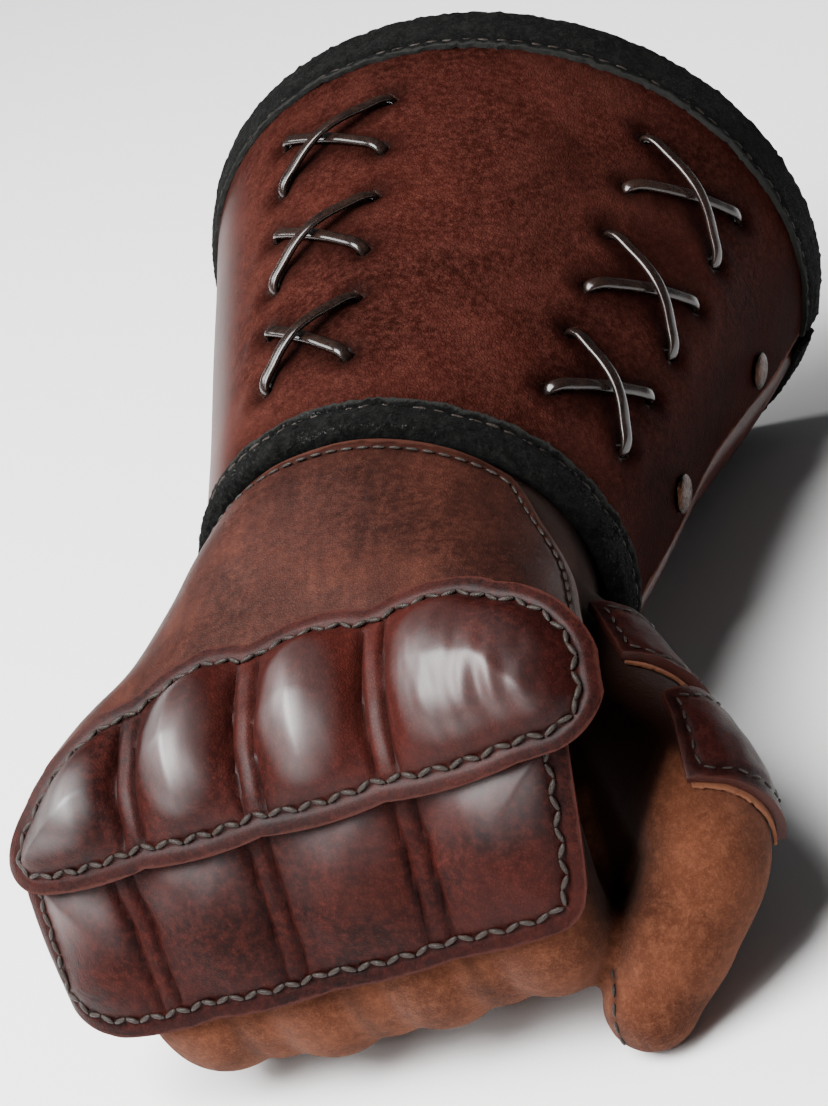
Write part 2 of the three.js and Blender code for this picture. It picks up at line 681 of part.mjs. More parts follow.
function knucklePoint(u, v, height) {
  const x = lerp(KNUCKLE_LEFT_X, KNUCKLE_RIGHT_X, u);
  const upper = KNUCKLE_UPPER - KNUCKLE_UPPER_SCALLOP * hump(x)
    + corner(x, KNUCKLE_RIGHT_X, KNUCKLE_CORNERS.upperRight)
    + corner(x, KNUCKLE_LEFT_X, KNUCKLE_CORNERS.upperLeft);
  const lower = KNUCKLE_LOWER + KNUCKLE_LOWER_SCALLOP * hump(x)
    - corner(x, KNUCKLE_RIGHT_X, KNUCKLE_CORNERS.lowerRight)
    - corner(x, KNUCKLE_LEFT_X, KNUCKLE_CORNERS.lowerLeft);
  const swell = smooth(v / 0.32) * smooth((1 - v) / 0.3);
  return platePoint(
    knuckleProfile, x, lerp(upper, lower, v), KNUCKLE_HUMP * hump(x) * swell + height);
}

function fingerPlatePoint(u, v, height) {
  const x = lerp(lerp(...FINGER_LEFT_X, v), lerp(...FINGER_RIGHT_X, v), u);
  const lower = FINGER_LOWER + FINGER_LOWER_SCALLOP * hump(x)
    - corner(x, FINGER_RIGHT_X[1], FINGER_CORNERS.lowerRight)
    - corner(x, FINGER_LEFT_X[1], FINGER_CORNERS.lowerLeft);
  const swell = smooth((v - 0.2) / 0.3) * smooth((1 - v) / 0.3);
  return platePoint(
    fingerProfile, x, lerp(FINGER_UPPER, lower, v), FINGER_HUMP * hump(x) * swell + height);
}

function handPlatePoint(u, v, height) {
  const y = lerp(HAND_PLATE_TOP_Y, HAND_PLATE_LOW_Y, v);
  const left = Math.asin(tableValue(HAND_PLATE_EDGES, 'run', 'left', v));
  const right = Math.asin(tableValue(HAND_PLATE_EDGES, 'run', 'right', v));
  const bend = HAND_PLATE_BOW * (1 - v) * (2 * u - 1) ** 4;
  return handPoint(lerp(left, right, u), y - bend, PLATE_LIFT + height);
}

// Saddle over the back of the thumb between two places along it.
const thumbCurve = jointCurve(thumbJoints);
const THUMB_BACK = new THREE.Vector3(0.8, -0.25, 0.55).normalize();
function thumbPoint(t, deg, height) {
  const centre = thumbCurve.curve.getPoint(t);
  const ahead = thumbCurve.curve.getTangent(t);
  const back = THUMB_BACK.clone().addScaledVector(ahead, -THUMB_BACK.dot(ahead)).normalize();
  const side = new THREE.Vector3().crossVectors(ahead, back);
  const radius = thumbCurve.radiusAt(t) + PLATE_LIFT + height;
  return centre.addScaledVector(back, Math.cos(rad(deg)) * radius)
    .addScaledVector(side, Math.sin(rad(deg)) * radius);
}

const upperThumbPlate = (u, v, height) => {
  const { from, to, leftDeg, rightDeg } = THUMB_UPPER_PLATE;
  return thumbPoint(
    lerp(from, lerp(...to, u), v), lerp(leftDeg, lerp(...rightDeg, v), u), height);
};

const lowerThumbPlate = (u, v, height) => {
  const { from, to, leftDeg, rightDeg } = THUMB_LOWER_PLATE;
  return thumbPoint(
    lerp(from, lerp(...to, u), v), lerp(leftDeg, lerp(...rightDeg, v), u), height);
};

const plates = [
  { name: 'hand_plate', point: handPlatePoint, across: 20, along: 6, finish: HAND_LEATHER },
  { name: 'knuckle_plate', point: knucklePoint, across: 32, along: 7, finish: PLATE_LEATHER },
  { name: 'finger_plate', point: fingerPlatePoint, across: 26, along: 5, finish: PLATE_LEATHER },
  { name: 'thumb_plate_upper', point: upperThumbPlate, across: 7, along: 5, finish: PLATE_LEATHER },
  { name: 'thumb_plate_lower', point: lowerThumbPlate, across: 7, along: 5, finish: PLATE_LEATHER },
];

addPiece('cuff_shell', toGeometry(cuffSolid), CUFF_LEATHER);
addPiece('cuff_rim_binding',
  binding(CUFF_LENGTH, 1, RIM_BINDING_OUTER_LEG, RIM_BINDING_INNER_LEG), BLACK_SUEDE);
addPiece('cuff_wrist_binding',
  binding(0, -1, WRIST_BINDING_OUTER_LEG, WRIST_BINDING_INNER_LEG), BLACK_SUEDE);
for (const lace of laces) {
  addPiece(lace.name, thong(lace.ends[0], lace.ends[1], lace.lift), LACE_LEATHER);
}
for (const { place, deg, share } of RIVETS) {
  addPiece(`rivet_${place}`, rivet(deg, share * CUFF_LENGTH, 0), RIVET_METAL);
}
for (const { name, point, across, along, finish } of plates) {
  addPiece(name, sheet(point, across, along, 0, PLATE_WALL), finish);
}
addPiece('glove', toGeometry(gloveSolid), BROWN_SUEDE);

// The origin is under the middle of the gauntlet, on the surface that it lies on.
const extent = new THREE.Box3().setFromObject(gauntlet);
const middle = extent.getCenter(new THREE.Vector3());
const floorShape = new THREE.BoxGeometry(1000, 1000, 100).translate(0, 0, -50);
floorShape.deleteAttribute('normal').deleteAttribute('uv');
const floorBlock = toSolid(mergeVertices(floorShape));
for (const piece of gauntlet.children) {
  piece.geometry.translate(-middle.x, -middle.y, -extent.min.z - REST_FLATTEN);
  piece.geometry.computeBoundingBox();
  if (piece.geometry.boundingBox.min.z < 0) {
    piece.geometry = toGeometry(toSolid(piece.geometry).subtract(floorBlock));
  }
}

export default gauntlet;
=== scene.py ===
import math
import bpy
import numpy as np
from mathutils import Matrix, Vector, noise


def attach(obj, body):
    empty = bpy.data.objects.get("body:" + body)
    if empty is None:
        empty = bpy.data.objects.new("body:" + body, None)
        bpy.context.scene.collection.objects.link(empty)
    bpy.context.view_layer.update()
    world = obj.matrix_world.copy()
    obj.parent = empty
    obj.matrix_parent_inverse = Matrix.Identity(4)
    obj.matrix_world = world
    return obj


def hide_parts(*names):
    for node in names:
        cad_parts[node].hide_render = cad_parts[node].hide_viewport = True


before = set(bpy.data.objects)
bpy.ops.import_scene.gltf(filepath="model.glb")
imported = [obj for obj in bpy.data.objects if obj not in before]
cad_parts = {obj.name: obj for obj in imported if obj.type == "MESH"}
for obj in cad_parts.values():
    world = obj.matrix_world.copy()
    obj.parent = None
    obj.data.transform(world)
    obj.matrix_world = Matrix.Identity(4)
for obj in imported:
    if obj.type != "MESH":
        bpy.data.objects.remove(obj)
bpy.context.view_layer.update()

bpy.ops.object.select_all(action='DESELECT')

# Camera: a standing photographer's view from in front of the knuckles and above them, so that
# the fist is nearest and the cuff runs away behind it.
camera_data = bpy.data.cameras.new("camera")
camera_data.lens = 94.84
camera_data.sensor_width = 36
camera_data.clip_start = 0.01
camera_data.clip_end = 50
camera = bpy.data.objects.new("camera", camera_data)
bpy.context.scene.collection.objects.link(camera)
camera.matrix_world = Matrix((
    (0.92421671, 0.19413039, 0.32884168, 0.20301332),
    (0.1747276, 0.55072478, -0.8161939, -0.52299237),
    (-0.3395493, 0.81179776, 0.47506912, 0.35705171),
    (0, 0, 0, 1)))
bpy.context.scene.camera = camera

# Cuff: one piece of thick antiqued cowhide, flared from wrist to rim and rolled round, so that
# the flap lies over a tongue. It was wetted and shaped by hand, so its face is a little uneven,
# and the leather is pulled down and darkened wherever a lace goes through it.
CUFF_LENGTH = 139.7
WRIST_HALF_WIDTH = 45.9
WRIST_HALF_DEPTH = 41.4
RIM_HALF_WIDTH = 76.3
RIM_HALF_DEPTH = 67.1
RIM_RISE = 5.4
PALM_SHARE = 0.81
CUFF_WALL = 2.6
CUFF_ROLL = math.radians(30)
FLAP_EDGE = 90
TONGUE_END = -295
PIECE_GAP = 0.3
LACE_ROWS = [0.7337, 0.4796, 0.2362]
LACE_COLUMNS = {"left": (-24.5, -49.5), "right": (26.5, 52)}
LACE_HALF_HEIGHT = 9.5
LACE_WIDTH = 2.8
LACE_THICK = 1.6
LACE_TAIL = 1.2
# The tongue starts to sink this many degrees round from the flap's edge, and its wrist and rim
# edges are cut back from the cuff's.
TONGUE_START = 352
TONGUE_SINK_RUN = 6
TONGUE_WRIST_CUT = 12
TONGUE_RIM_CUT = 17
# Handling has pushed the cuff in beside the rivets and along the little-finger side.
RIVET_HOLLOW_DEG = 97
RIVET_HOLLOW_Y = 70
RIVET_HOLLOW_DEPTH = 2.8
SIDE_HOLLOW_DEG = -92
SIDE_HOLLOW_DEPTH = 1.2
# The lowest leather keeps this many metres above the floor.
FLOOR_GAP = 0.0002

# The hand's own frame is in millimetres, its forearm along +Y; the gauntlet lies turned from it.
lying = (Matrix.Translation((-3.33477, -22.03605, 55.43921))
         @ Matrix.Rotation(math.radians(-0.42), 4, 'X')
         @ Matrix.Rotation(math.radians(-5.97), 4, 'Y'))


def laid(point):
    return (lying @ Vector(point)) * 0.001


def placed_matrix(x_axis, y_axis, z_axis, centre):
    """Places a unit shape on axes of the hand's frame, in metres where the gauntlet lies."""
    block = Matrix(((*x_axis, 0), (*y_axis, 0), (*z_axis, 0), (*centre, 1))).transposed()
    return Matrix.Scale(0.001, 4) @ lying @ block


def blended(a, b, share):
    return a + (b - a) * share


def within(share):
    return min(max(share, 0), 1)


def eased(share):
    share = within(share)
    return share * share * (3 - 2 * share)


def bell(away, width):
    return math.exp(-(away / width) ** 2)


def wobble(x, y, z):
    return noise.noise(Vector((x, y, z)))


def cuff_point(deg, y, height):
    t = y / CUFF_LENGTH
    s, c = math.sin(math.radians(deg)), math.cos(math.radians(deg))
    share = PALM_SHARE if c < 0 else 1
    a = blended(WRIST_HALF_WIDTH, RIM_HALF_WIDTH, t)
    b = blended(WRIST_HALF_DEPTH, RIM_HALF_DEPTH, t) * share
    out = Vector((s / a, 0, c / b)).normalized()
    flare_x = (RIM_HALF_WIDTH - WRIST_HALF_WIDTH) * s
    flare_z = (RIM_HALF_DEPTH - WRIST_HALF_DEPTH) * share * c + RIM_RISE
    out.y = -(out.x * flare_x + out.z * flare_z) / CUFF_LENGTH
    uneven = 0.5 * wobble(s * 1.7, y / 42, c * 1.7)
    beside = (deg - RIVET_HOLLOW_DEG + 180) % 360 - 180
    uneven -= RIVET_HOLLOW_DEPTH * bell(beside, 24) * bell(y - RIVET_HOLLOW_Y, 27)
    uneven -= SIDE_HOLLOW_DEPTH * bell(deg - SIDE_HOLLOW_DEG, 34)
    point = Vector((a * s, y, RIM_RISE * t + b * c)) + out.normalized() * (height + uneven)
    return Matrix.Rotation(CUFF_ROLL, 3, 'Y') @ point


def finish_with(piece, kind, **settings):
    modifier = piece.modifiers.new(kind.lower(), kind)
    for key, value in settings.items():
        setattr(modifier, key, value)
    bpy.context.view_layer.objects.active = piece
    bpy.ops.object.modifier_apply(modifier=modifier.name)


def shaped_grid(name, columns, rows, place):
    """A flat blank laid over its form; place gives a point and its marks at u, v."""
    bpy.ops.object.select_all(action='DESELECT')
    bpy.ops.mesh.primitive_grid_add(x_subdivisions=columns, y_subdivisions=rows, size=2)
    piece = bpy.context.object
    piece.name = piece.data.name = name
    marks = piece.data.color_attributes.new("marks", 'FLOAT_COLOR', 'POINT')
    for corner, colour in zip(piece.data.vertices, marks.data):
        point, mark = place((corner.co.x + 1) / 2, (corner.co.y + 1) / 2)
        corner.co = laid(point)
        corner.co.z = max(corner.co.z, FLOOR_GAP)
        colour.color = (*mark, 1)[:4]
    return piece


def leather_sheet(name, columns, rows, place, wall, rounding=0.45):
    """A shaped blank with the leather's thickness under it and its cut edges rubbed round."""
    piece = shaped_grid(name, columns, rows, place)
    finish_with(piece, 'SOLIDIFY', thickness=wall * 0.001, offset=-1, use_even_offset=False)
    finish_with(piece, 'BEVEL', width=rounding * 0.001, segments=3, limit_method='ANGLE',
                angle_limit=math.radians(55))
    bpy.ops.object.shade_smooth_by_angle(angle=math.radians(50))
    return piece


laces = []
for column, (inner, outer) in LACE_COLUMNS.items():
    for row, share in enumerate(LACE_ROWS, 1):
        high = share * CUFF_LENGTH + LACE_HALF_HEIGHT
        low = share * CUFF_LENGTH - LACE_HALF_HEIGHT
        laces.append((f"lace_{column}_{row}_over", (inner, high), (outer, low), 1.6 * LACE_THICK))
        laces.append((f"lace_{column}_{row}_under", (outer, high), (inner, low), 0))
lace_lines = [(cuff_point(*start, 0), cuff_point(*end, 0)) for _, start, end, _ in laces]


def near_laces(point):
    """Distance to the nearest lace and to the nearest slit."""
    line = slit = 99
    for start, end in lace_lines:
        if abs(point.y - (start.y + end.y) / 2) > 26:
            continue
        along = end - start
        t = within((point - start).dot(along) / along.length_squared)
        line = min(line, (start + along * t - point).length)
        slit = min(slit, (start - point).length, (end - point).length)
    return line, slit


def cuff_place(u, v):
    deg = blended(TONGUE_END, FLAP_EDGE, u)
    deg += 1.6 * wobble(v * 7, 4, 0) * eased((deg - 60) / 30)
    under = eased((FLAP_EDGE - TONGUE_START - deg) / TONGUE_SINK_RUN)
    y = blended(TONGUE_WRIST_CUT * under, CUFF_LENGTH - TONGUE_RIM_CUT * under, v)
    line, slit = near_laces(cuff_point(deg, y, 0))
    # Each slit is pulled down with a low swelling round it, and each thong has pressed a line.
    dent = -0.9 * bell(slit, 2.6) + 0.4 * bell(slit - 6, 2.5) - 0.25 * bell(line, 2.5)
    one_degree = math.radians(1) * (WRIST_HALF_WIDTH + y / 4.5)
    edge = min(FLAP_EDGE - deg, deg - TONGUE_END) * one_degree
    by_bindings = math.exp(-min(y - 6, CUFF_LENGTH - 11 - y) / 7) if under < 0.5 else 0
    # Painted shade: the leather is darkened towards the flap's edge, the side turned from the
    # lights.
    flap_side_shade = eased((deg - 56) / 18)
    smudge = wobble(deg / 26, y / 24, 8) - 0.22
    stain_and_shade = max(0.95 * bell(line, 6), bell(slit, 6), 0.65 * by_bindings, 0.7 * flap_side_shade,
                1.3 * smudge)
    point = cuff_point(deg, y, dent * (1 - under) - (CUFF_WALL + 2 * PIECE_GAP) * under)
    polish = 0.08 + 0.92 * eased((-deg - 50) / 32) - 0.08 * eased((deg - 10) / 30)
    return point, (min(edge, 20), min(stain_and_shade, 1), 0, polish)


cuff = leather_sheet("cuff", 270, 96, cuff_place, CUFF_WALL)

# The slits are cut right through, one at each end of every lace.
cutters = []
for _, start, end, _ in laces:
    for here, there in ((start, end), (end, start)):
        centre = cuff_point(*here, 0)
        out = (cuff_point(*here, 1) - centre).normalized()
        ahead = cuff_point(*there, 0) - centre
        ahead = (ahead - out * ahead.dot(out)).normalized()
        side = ahead.cross(out)
        bpy.ops.mesh.primitive_cube_add(size=1)
        cutter = bpy.context.object
        cutter.data.transform(placed_matrix(
            side * (LACE_WIDTH + 0.5), ahead * (LACE_THICK + 1.1), out * 8, centre + ahead * 0.25))
        cutters.append(cutter)
bpy.ops.object.select_all(action='DESELECT')
for cutter in cutters:
    cutter.select_set(True)
bpy.context.view_layer.objects.active = cutters[0]
bpy.ops.object.join()
finish_with(cuff, 'BOOLEAN', object=cutters[0], operation='DIFFERENCE', solver='EXACT')
bpy.data.objects.remove(cutters[0])


def step(tree, kind, inputs=None, **settings):
    node = tree.nodes.new(kind)
    for key, value in settings.items():
        setattr(node, key, value)
    for key, value in (inputs or {}).items():
        if isinstance(value, bpy.types.NodeSocket):
            tree.links.new(value, node.inputs[key])
        else:
            node.inputs[key].default_value = value
    return node


def sum_of(tree, operation, a, b, clamp=False):
    node = step(tree, "ShaderNodeMath", {0: a, 1: b}, operation=operation, use_clamp=clamp)
    return node.outputs[0]


def times(tree, a, b):
    return sum_of(tree, 'MULTIPLY', a, b)


def ranged(tree, value, low, high, to_low=0.0, to_high=1.0):
    return step(tree, "ShaderNodeMapRange", {
        "Value": value, "From Min": low, "From Max": high, "To Min": to_low, "To Max": to_high,
    }).outputs["Result"]


def tinted(tree, share, a, b):
    return step(tree, "ShaderNodeMix", {0: share, 6: a, 7: b}, data_type='RGBA').outputs[2]


def clouds(tree, spot, scale, detail, roughness=0.5, distortion=0.0):
    return step(tree, "ShaderNodeTexNoise", {
        "Vector": spot, "Scale": scale, "Detail": detail, "Roughness": roughness,
        "Distortion": distortion}).outputs["Fac"]


def here_on(tree):
    return step(tree, "ShaderNodeTexCoord").outputs["Object"]


def new_group(name, inputs, outputs):
    group = bpy.data.node_groups.new(name, 'ShaderNodeTree')
    for label, value in inputs.items():
        socket = group.interface.new_socket(label, in_out='INPUT', socket_type='NodeSocketFloat')
        socket.default_value = value
    for label in outputs:
        group.interface.new_socket(label, in_out='OUTPUT', socket_type='NodeSocketFloat')
    return group, group.nodes.new("NodeGroupInput"), group.nodes.new("NodeGroupOutput")


# Grain of full-grain leather: pebbles with fine lines between them, pores, and long soft wrinkles.
grain, given, result = new_group(
    "leather_grain",
    {"Pebble Scale": 900, "Wrinkle Scale": 90, "Pore Depth": 0.4, "Wrinkle Depth": 0.5},
    ["Height", "Lines"])
spot = here_on(grain)
stir = step(grain, "ShaderNodeTexNoise", {
    "Vector": spot, "Scale": 420.0, "Detail": 3.0}).outputs["Color"]
stirred = step(grain, "ShaderNodeMix", {0: 0.0011, 4: spot, 5: stir}, data_type='VECTOR').outputs[1]
pebble = step(grain, "ShaderNodeTexVoronoi", {
    "Vector": stirred, "Scale": given.outputs["Pebble Scale"]}, feature='DISTANCE_TO_EDGE')
lines = ranged(grain, pebble.outputs["Distance"], 0.0, 0.22)
pores = clouds(grain, spot, 2600.0, 4.0, 0.7)
wrinkle = clouds(grain, stirred, given.outputs["Wrinkle Scale"], 5.0, 0.55, 0.6)
ridges = sum_of(grain, 'ABSOLUTE', sum_of(grain, 'SUBTRACT', wrinkle, 0.5), 0.0)
soft = times(grain, ranged(grain, ridges, 0.0, 0.12), given.outputs["Wrinkle Depth"])
fine = times(grain, pores, given.outputs["Pore Depth"])
height = sum_of(grain, 'ADD', sum_of(grain, 'ADD', times(grain, lines, 0.5), fine), soft)
grain.links.new(height, result.inputs["Height"])
grain.links.new(lines, result.inputs["Lines"])

# Antiquing: dye rubbed in by hand, so it clouds, speckles and streaks.
mottle, given, result = new_group("antique_mottle", {"Cloud Scale": 32},
                                  ["Cloud", "Speckle", "Streak", "Patch"])
spot = here_on(mottle)
combed = step(mottle, "ShaderNodeMapping", {
    "Vector": spot, "Scale": (130.0, 26.0, 60.0)}).outputs[0]
for label, texture, low, high in (
        ("Cloud", clouds(mottle, spot, given.outputs["Cloud Scale"], 7.0, 0.62, 0.9), 0.32, 0.68),
        ("Speckle", clouds(mottle, spot, 620.0, 5.0, 0.75), 0.42, 0.68),
        ("Streak", clouds(mottle, combed, 1.0, 4.0, 0.6, 0.4), 0.38, 0.66),
        ("Patch", clouds(mottle, spot, 19.0, 5.0, 0.6, 0.5), 0.48, 0.7)):
    mottle.links.new(ranged(mottle, texture, low, high), result.inputs[label])

# Wear along a cut edge, broken up as real rubbing is.
wear, given, result = new_group("edge_wear", {"Distance": 20, "Width": 2}, ["Wear"])
ragged = clouds(wear, here_on(wear), 260.0, 5.0)
broken = times(wear, given.outputs["Width"], ranged(wear, ragged, 0.3, 0.7, 0.25, 1.5))
share = sum_of(wear, 'DIVIDE', given.outputs["Distance"], broken)
wear.links.new(ranged(wear, share, 0.5, 1.2, 1.0, 0.0), result.inputs["Wear"])


def used(tree, group, inputs):
    return step(tree, "ShaderNodeGroup", inputs, node_tree=group)


def new_material(name):
    material = bpy.data.materials.new(name)
    material.use_nodes = True
    return material, material.node_tree, material.node_tree.nodes["Principled BSDF"]


def marks_of(tree):
    """The piece's own marks: edge distance, stain and painted shade, pressed lines, and how
    polished it is.
    """
    marks = step(tree, "ShaderNodeAttribute", attribute_name="marks", attribute_type='GEOMETRY')
    split = step(tree, "ShaderNodeSeparateColor", {0: marks.outputs["Color"]})
    return (*split.outputs, marks.outputs["Alpha"])


def embossed(tree, shader, height, relief, strength=1.0):
    bump = step(tree, "ShaderNodeBump", {
        "Strength": strength, "Distance": relief, "Height": height})
    tree.links.new(bump.outputs["Normal"], shader.inputs["Normal"])


def darkened(colour, share):
    return tuple(share * channel for channel in colour[:3]) + (1,)


def leather(name, deep, body, glow, rubbed, gloss=(0.3, 0.5), pebble=900, wrinkle_depth=0.5,
            relief=0.00022, coat=0.2, coat_rough=0.2, streaks=0.3, cloud=32, wear_width=1.6,
            shine=0.5, ior=1.5):
    """Dyed, waxed leather, darker where its marks say so and glossier where they say polished."""
    material, tree, shader = new_material(name)
    edge, stain_and_shade, pressed, polish = marks_of(tree)
    skin = used(tree, grain, {"Pebble Scale": pebble, "Wrinkle Depth": wrinkle_depth})
    dye = used(tree, mottle, {"Cloud Scale": cloud})
    rub = used(tree, wear, {"Distance": edge, "Width": wear_width})
    colour = tinted(tree, dye.outputs["Cloud"], deep, body)
    colour = tinted(tree, times(tree, dye.outputs["Speckle"], 0.55), colour, glow)
    colour = tinted(tree, times(tree, dye.outputs["Patch"], 0.5), colour, glow)
    colour = tinted(tree, times(tree, dye.outputs["Streak"], streaks), colour, deep)
    sunk = times(tree, sum_of(tree, 'SUBTRACT', 1.0, skin.outputs["Lines"]), 0.35)
    colour = tinted(tree, sunk, colour, deep)
    # Darker where the marks hold stain or painted shade, or a pressed line.
    shade_and_stain = times(tree, sum_of(tree, 'MAXIMUM', stain_and_shade, pressed), 0.8)
    colour = tinted(tree, shade_and_stain, colour, darkened(deep, 0.18))
    colour = tinted(tree, times(tree, rub.outputs["Wear"], 0.7), colour, rubbed)
    rough = ranged(tree, dye.outputs["Cloud"], 0.0, 1.0, *gloss)
    rough = sum_of(tree, 'ADD', rough, times(tree, dye.outputs["Speckle"], 0.1), True)
    tree.links.new(colour, shader.inputs["Base Color"])
    tree.links.new(rough, shader.inputs["Roughness"])
    tree.links.new(times(tree, polish, coat), shader.inputs["Coat Weight"])
    embossed(tree, shader, skin.outputs["Height"], relief)
    shader.inputs["Coat Roughness"].default_value = coat_rough
    shader.inputs["IOR"].default_value = ior
    shader.inputs["Specular IOR Level"].default_value = shine
    return material


cuff.data.materials.clear()
cuff.data.materials.append(leather(
    "cuff_leather", (0.010, 0.0026, 0.0019, 1), (0.037, 0.0082, 0.0058, 1), (0.09, 0.027, 0.02, 1),
    (0.11, 0.05, 0.038, 1), gloss=(0.4, 0.54), pebble=1250, relief=0.0002, coat=0.45,
    coat_rough=0.34, streaks=0, cloud=24, ior=1.04))
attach(cuff, "root")
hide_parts("cuff_shell")

# Laces: short thongs of dark, waxed hide. Each pair crosses on the face: one lies flat and the
# other arches over it, and all their ends go through the slits and stop just behind the leather.


def rolled(name, around, steps, place):
    """A blank rolled into a tube: its long sides are joined and its ends filled."""
    piece = shaped_grid(name, around, steps, place)
    bpy.ops.object.mode_set(mode='EDIT')
    bpy.ops.mesh.select_all(action='SELECT')
    bpy.ops.mesh.remove_doubles(threshold=1e-7)
    bpy.ops.mesh.fill_holes(sides=0)
    bpy.ops.mesh.select_all(action='SELECT')
    bpy.ops.mesh.normals_make_consistent(inside=False)
    bpy.ops.object.mode_set(mode='OBJECT')
    return piece


def signed_power(value, power):
    return math.copysign(abs(value) ** power, value)


def through(points, t):
    """Centripetal curve through points, with t from 0 to 1 over them."""
    place = t * (len(points) - 1)
    i = min(int(place), len(points) - 2)
    weight = place - i
    b, c = points[i], points[i + 1]
    a = points[i - 1] if i else b * 2 - c
    d = points[i + 2] if i + 2 < len(points) else c * 2 - b
    da, db, dc = (max((q - p).length ** 0.5, 1e-6) for p, q in ((a, b), (b, c), (c, d)))
    m = ((b - a) / da - (c - a) / (da + db) + (c - b) / db) * db
    n = ((c - b) / db - (d - b) / (db + dc) + (d - c) / dc) * db
    return (b + m * weight + (b * -3 + c * 3 - m * 2 - n) * weight ** 2
            + (b * 2 - c * 2 + m + n) * weight ** 3)


lace_leather = leather(
    "lace_leather", (0.003, 0.0016, 0.0012, 1), (0.011, 0.0052, 0.0037, 1),
    (0.035, 0.017, 0.012, 1), (0.06, 0.035, 0.026, 1), gloss=(0.3, 0.45), pebble=1500,
    relief=0.00012, coat=0.9, streaks=0.2, cloud=160, ior=1.1)

for name, start, end, lift in laces:
    rise = PIECE_GAP + LACE_THICK / 2
    tail = -CUFF_WALL - LACE_TAIL
    heights = [(0, tail), (0, -0.6), (0.06, rise * 0.9)]
    heights += [(t, rise + lift * math.sin(math.pi * t) ** 2) for t in (0.2, 0.35, 0.5, 0.65, 0.8)]
    heights += [(0.94, rise * 0.9), (1, -0.6), (1, tail)]
    spine = [cuff_point(blended(start[0], end[0], t), blended(start[1], end[1], t), h)
             for t, h in heights]
    middle = (start[0] + end[0]) / 2, (start[1] + end[1]) / 2
    middle_out = cuff_point(*middle, 1) - cuff_point(*middle, 0)
    across = (cuff_point(*end, 0) - cuff_point(*start, 0)).cross(middle_out).normalized()

    def lace_place(u, v):
        here = through(spine, v)
        ahead = through(spine, min(v + 0.01, 1)) - through(spine, max(v - 0.01, 0))
        ahead.normalize()
        side = (across - ahead * across.dot(ahead)).normalized()
        up = side.cross(ahead)
        a = u * math.tau
        pinch = 1 - 0.12 * wobble(v * 6, len(name), here.y * 0.1)
        x = signed_power(math.cos(a), 0.7) * LACE_WIDTH / 2 * pinch
        z = signed_power(math.sin(a), 0.8) * LACE_THICK / 2
        return here + side * x + up * z, (20, 0.25 * abs(math.cos(a)) ** 4, 0)

    lace = rolled(name + "_thong", 14, 46, lace_place)
    bpy.ops.object.shade_smooth_by_angle(angle=math.radians(60))
    lace.data.materials.append(lace_leather)
    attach(lace, "root")
    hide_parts(name)

# Bindings: strips of black suede folded over the rim and over the wrist edge of the cuff, and
# stitched through. Their raw edges are a little fuzzy, and the fold is soft and round.
OPEN_RUN = (90, -265)
BINDING_WALL = 1.2
BINDING_STAND = 0.9
# Shares of the strip's width at which the fold starts and ends.
FOLD_START = 0.45
FOLD_END = 0.75
RIM_LEG = 12
RIM_STITCH = 2.4
WRIST_LEG = 7.5
WRIST_STITCH = 2.0


def suede(name, deep, body, nap, sheen, relief, fray=0.5, gleam=0.0):
    """Brushed suede: short fibres that lie in patches, paler where the nap stands up."""
    material, tree, shader = new_material(name)
    edge, stain_and_shade, pressed, _ = marks_of(tree)
    spot = here_on(tree)
    fibres = clouds(tree, spot, 1900.0, 6.0, 0.8)
    tufts = clouds(tree, spot, 480.0, 5.0, 0.7, 0.2)
    brushed = clouds(tree, spot, 60.0, 5.0, 0.6, 0.4)
    rub = used(tree, wear, {"Distance": edge, "Width": 1.1})
    colour = tinted(tree, ranged(tree, brushed, 0.35, 0.65), deep, body)
    colour = tinted(tree, ranged(tree, tufts, 0.45, 0.72, 0.0, 0.3), colour, nap)
    colour = tinted(tree, ranged(tree, fibres, 0.5, 0.75, 0.0, 0.4), colour, nap)
    # Darker where the marks hold stain or painted shade, or a pressed line.
    shade_and_stain = times(tree, sum_of(tree, 'MAXIMUM', stain_and_shade, pressed), 0.96)
    colour = tinted(tree, shade_and_stain, colour, darkened(deep, 0.3))
    colour = tinted(tree, times(tree, rub.outputs["Wear"], fray), colour, nap)
    # Single fibres shine where the nap is worn flat.
    flat = ranged(tree, brushed, 0.4, 0.6, 0.2, 1.0)
    flecks = times(tree, ranged(tree, fibres, 0.56, 0.66), flat)
    tree.links.new(colour, shader.inputs["Base Color"])
    tree.links.new(ranged(tree, tufts, 0.3, 0.7, 0.8, 1.0), shader.inputs["Roughness"])
    tree.links.new(times(tree, flecks, gleam), shader.inputs["Coat Weight"])
    embossed(tree, shader, sum_of(tree, 'ADD', times(tree, tufts, 0.6), times(tree, fibres, 0.6)),
             relief)
    shader.inputs["Coat Roughness"].default_value = 0.3
    shader.inputs["Sheen Weight"].default_value = sheen
    shader.inputs["Sheen Roughness"].default_value = 0.4
    shader.inputs["IOR"].default_value = 1.12
    return material


black_suede = suede("black_suede", (0.0008, 0.0009, 0.0008, 1), (0.0028, 0.0029, 0.0027, 1),
                    (0.03, 0.03, 0.028, 1), sheen=0.01, relief=0.0012, fray=0.6, gleam=0.7)


